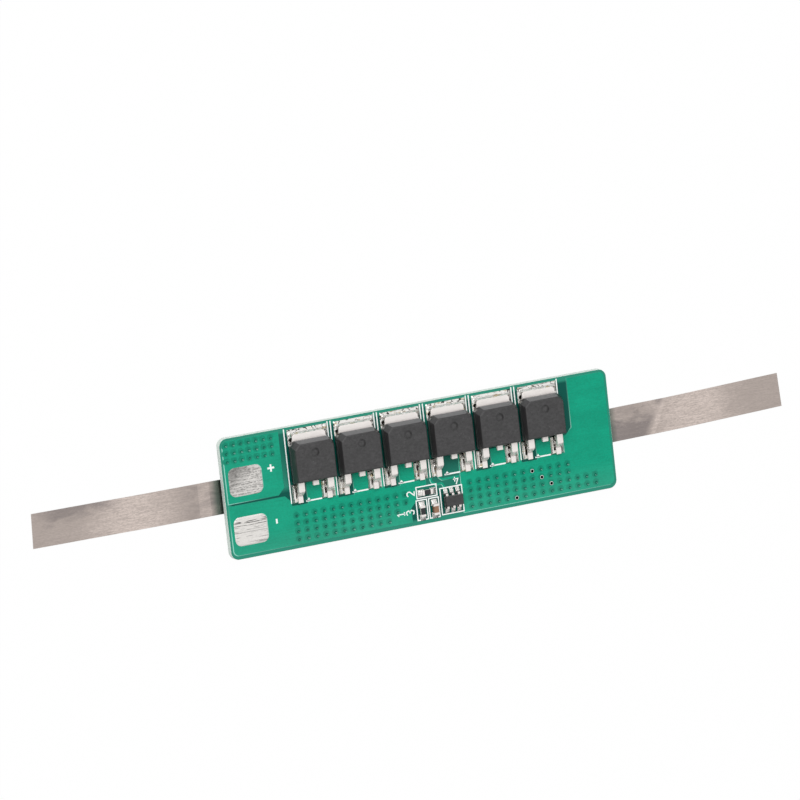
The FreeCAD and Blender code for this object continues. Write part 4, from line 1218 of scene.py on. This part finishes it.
def add_camera():
    """Camera at the photograph's viewing angle, with the picture's centre on the target."""
    look = settings("stage")
    flat = math.cos(look.elevation)
    back = Vector((flat * math.cos(look.azimuth), flat * math.sin(look.azimuth), math.sin(look.elevation)))
    target = Vector((look.target_x, look.target_y, BOARD_TOP * MM))
    right = (-back).cross(Vector((0, 1, 0))).normalized()
    up = right.cross(-back)
    turned_right = right * math.cos(look.roll) + up * math.sin(look.roll)
    turned_up = up * math.cos(look.roll) - right * math.sin(look.roll)
    data = bpy.data.cameras.new("camera")
    data.sensor_width = 36
    data.lens = look.lens
    data.clip_start, data.clip_end = 0.01, 20
    camera = bpy.data.objects.new("camera", data)
    turn = Matrix((turned_right, turned_up, back)).transposed()
    camera.matrix_world = Matrix.Translation(target + back * look.distance) @ turn.to_4x4()
    bpy.context.scene.collection.objects.link(camera)
    bpy.context.scene.camera = camera


# Operators


class StageOperator(bpy.types.Operator):
    """Adds the floor, the light and the camera"""
    bl_idname = "cell_board.stage"
    bl_label = "Stage"

    def execute(self, context):
        add_floor()
        add_world()
        add_lamp("overhead_lamp", place=(-0.32, 0.52, 0.79), aim=(0, 0, 0), size=(0.8, 0.7),
                 power=settings("stage").key_level)
        add_camera()
        context.scene.view_settings.view_transform = "Standard"
        return {"FINISHED"}


class BoardOperator(bpy.types.Operator):
    """Adds the masked board with its sloped copper edges and its open vias"""
    bl_idname = "cell_board.board"
    bl_label = "Board"

    def execute(self, context):
        add_piece("masked_board", sloped_board(), "mask", "solder_mask", ("circuit_board",))
        eased_copy("via_rings", "rim", "tinned_copper", 0.008 * MM)
        return {"FINISHED"}


class MarksOperator(bpy.types.Operator):
    """Adds the printed frames, signs and numbers"""
    bl_idname = "cell_board.marks"
    bl_label = "Printed marks"

    def execute(self, context):
        printed_marks()
        return {"FINISHED"}


class PadsOperator(bpy.types.Operator):
    """Adds the two output pads"""
    bl_idname = "cell_board.pads"
    bl_label = "Output pads"

    def execute(self, context):
        dragged_pad("output_pad_plus", "pad_plus", 4)
        dragged_pad("output_pad_minus", "pad_minus", 11)
        return {"FINISHED"}


class StripsOperator(bpy.types.Operator):
    """Adds the nickel strips and the joints that hold them"""
    bl_idname = "cell_board.strips"
    bl_label = "Nickel strips"

    def execute(self, context):
        for side, seed, sway in (("left", 1, -0.05), ("right", 6, -0.15)):
            nickel_strip("nickel_strip_" + side, seed, sway)
            eased_copy("strip_joint_" + side, "solder", "solder", 0.12 * MM, segments=3)
            eased_copy("battery_pad_" + side, "pad_minus", "tinned_copper", 0.01 * MM)
        return {"FINISHED"}


class TransistorsOperator(bpy.types.Operator):
    """Adds the six transistors with their metal"""
    bl_idname = "cell_board.transistors"
    bl_label = "Transistors"

    def execute(self, context):
        ease = settings("package").ease
        for name in TRANSISTORS:
            eased_copy(name + "_body", "epoxy", "mould_epoxy", ease * 0.7)
            eased_copy(name + "_drain_tab", "tab_tin", "plated_lead", ease)
            for lead in LEADS:
                bent_lead(name + "_" + lead + "_lead", ease)
        return {"FINISHED"}


class TransistorSolderOperator(bpy.types.Operator):
    """Adds the solder under and round the transistors' metal"""
    bl_idname = "cell_board.transistor_solder"
    bl_label = "Transistor solder"

    def execute(self, context):
        for index, name in enumerate(TRANSISTORS):
            bm = bmesh.new()
            drain_solder(bm, index, name)
            for lead in LEADS:
                lead_solder(bm, index, name, lead)
            node = name + "_solder"
            add_piece(node + "_pooled", mesh_from(node + "_pooled", bm), "solder", "solder", (node,))
        return {"FINISHED"}


class ChipOperator(bpy.types.Operator):
    """Adds the control chip"""
    bl_idname = "cell_board.chip"
    bl_label = "Control chip"

    def execute(self, context):
        eased_copy("control_chip_body", "chip_epoxy", "mould_epoxy", 0.03 * MM)
        eased_copy("control_chip_pins", "chip_tin", "plated_lead", 0.03 * MM)
        eased_copy("control_chip_solder", "hand_solder", "solder", 0.02 * MM)
        return {"FINISHED"}


class ChipPartsOperator(bpy.types.Operator):
    """Adds the two resistors and the capacitor"""
    bl_idname = "cell_board.chip_parts"
    bl_label = "Resistors and capacitor"

    def execute(self, context):
        for name in ("resistor_1", "resistor_2", "capacitor_1"):
            ceramic = ("titanate", "capacitor_ceramic") if name == "capacitor_1" else ("alumina", "alumina")
            eased_copy(name + "_body", *ceramic, 0.03 * MM)
            eased_copy(name + "_end_caps", "tin", "plated_lead", 0.015 * MM)
            eased_copy(name + "_solder", "hand_solder", "solder", 0.02 * MM)
            if name != "capacitor_1":
                eased_copy(name + "_film", "glass", "resistor_glass", 0.015 * MM)
        return {"FINISHED"}


STEPS = (StageOperator, BoardOperator, MarksOperator, PadsOperator, StripsOperator, TransistorsOperator,
         TransistorSolderOperator, ChipOperator, ChipPartsOperator)


class CellBoardPanel(bpy.types.Panel):
    """Lists the steps and settings of the battery management board"""
    bl_idname = "VIEW3D_PT_cell_board"
    bl_label = "Battery management board"
    bl_space_type = "VIEW_3D"
    bl_region_type = "UI"
    bl_category = "Cell board"

    def draw(self, context):
        for step in STEPS:
            self.layout.operator(step.bl_idname)
        for group, kind in SETTINGS.items():
            box = self.layout.box()
            for key in kind.__annotations__:
                box.prop(settings(group), key)


CLASSES = (*SETTINGS.values(), *STEPS, CellBoardPanel)


def register():
    for kind in CLASSES:
        bpy.utils.register_class(kind)
    for group, kind in SETTINGS.items():
        setattr(bpy.types.Scene, "cell_board_" + group, bpy.props.PointerProperty(type=kind))


def unregister():
    for group in SETTINGS:
        delattr(bpy.types.Scene, "cell_board_" + group)
    for kind in reversed(CLASSES):
        bpy.utils.unregister_class(kind)


def main():
    register()
    for step in STEPS:
        group, name = step.bl_idname.split(".")
        getattr(getattr(bpy.ops, group), name)()


if __name__ == "__main__":
    main()
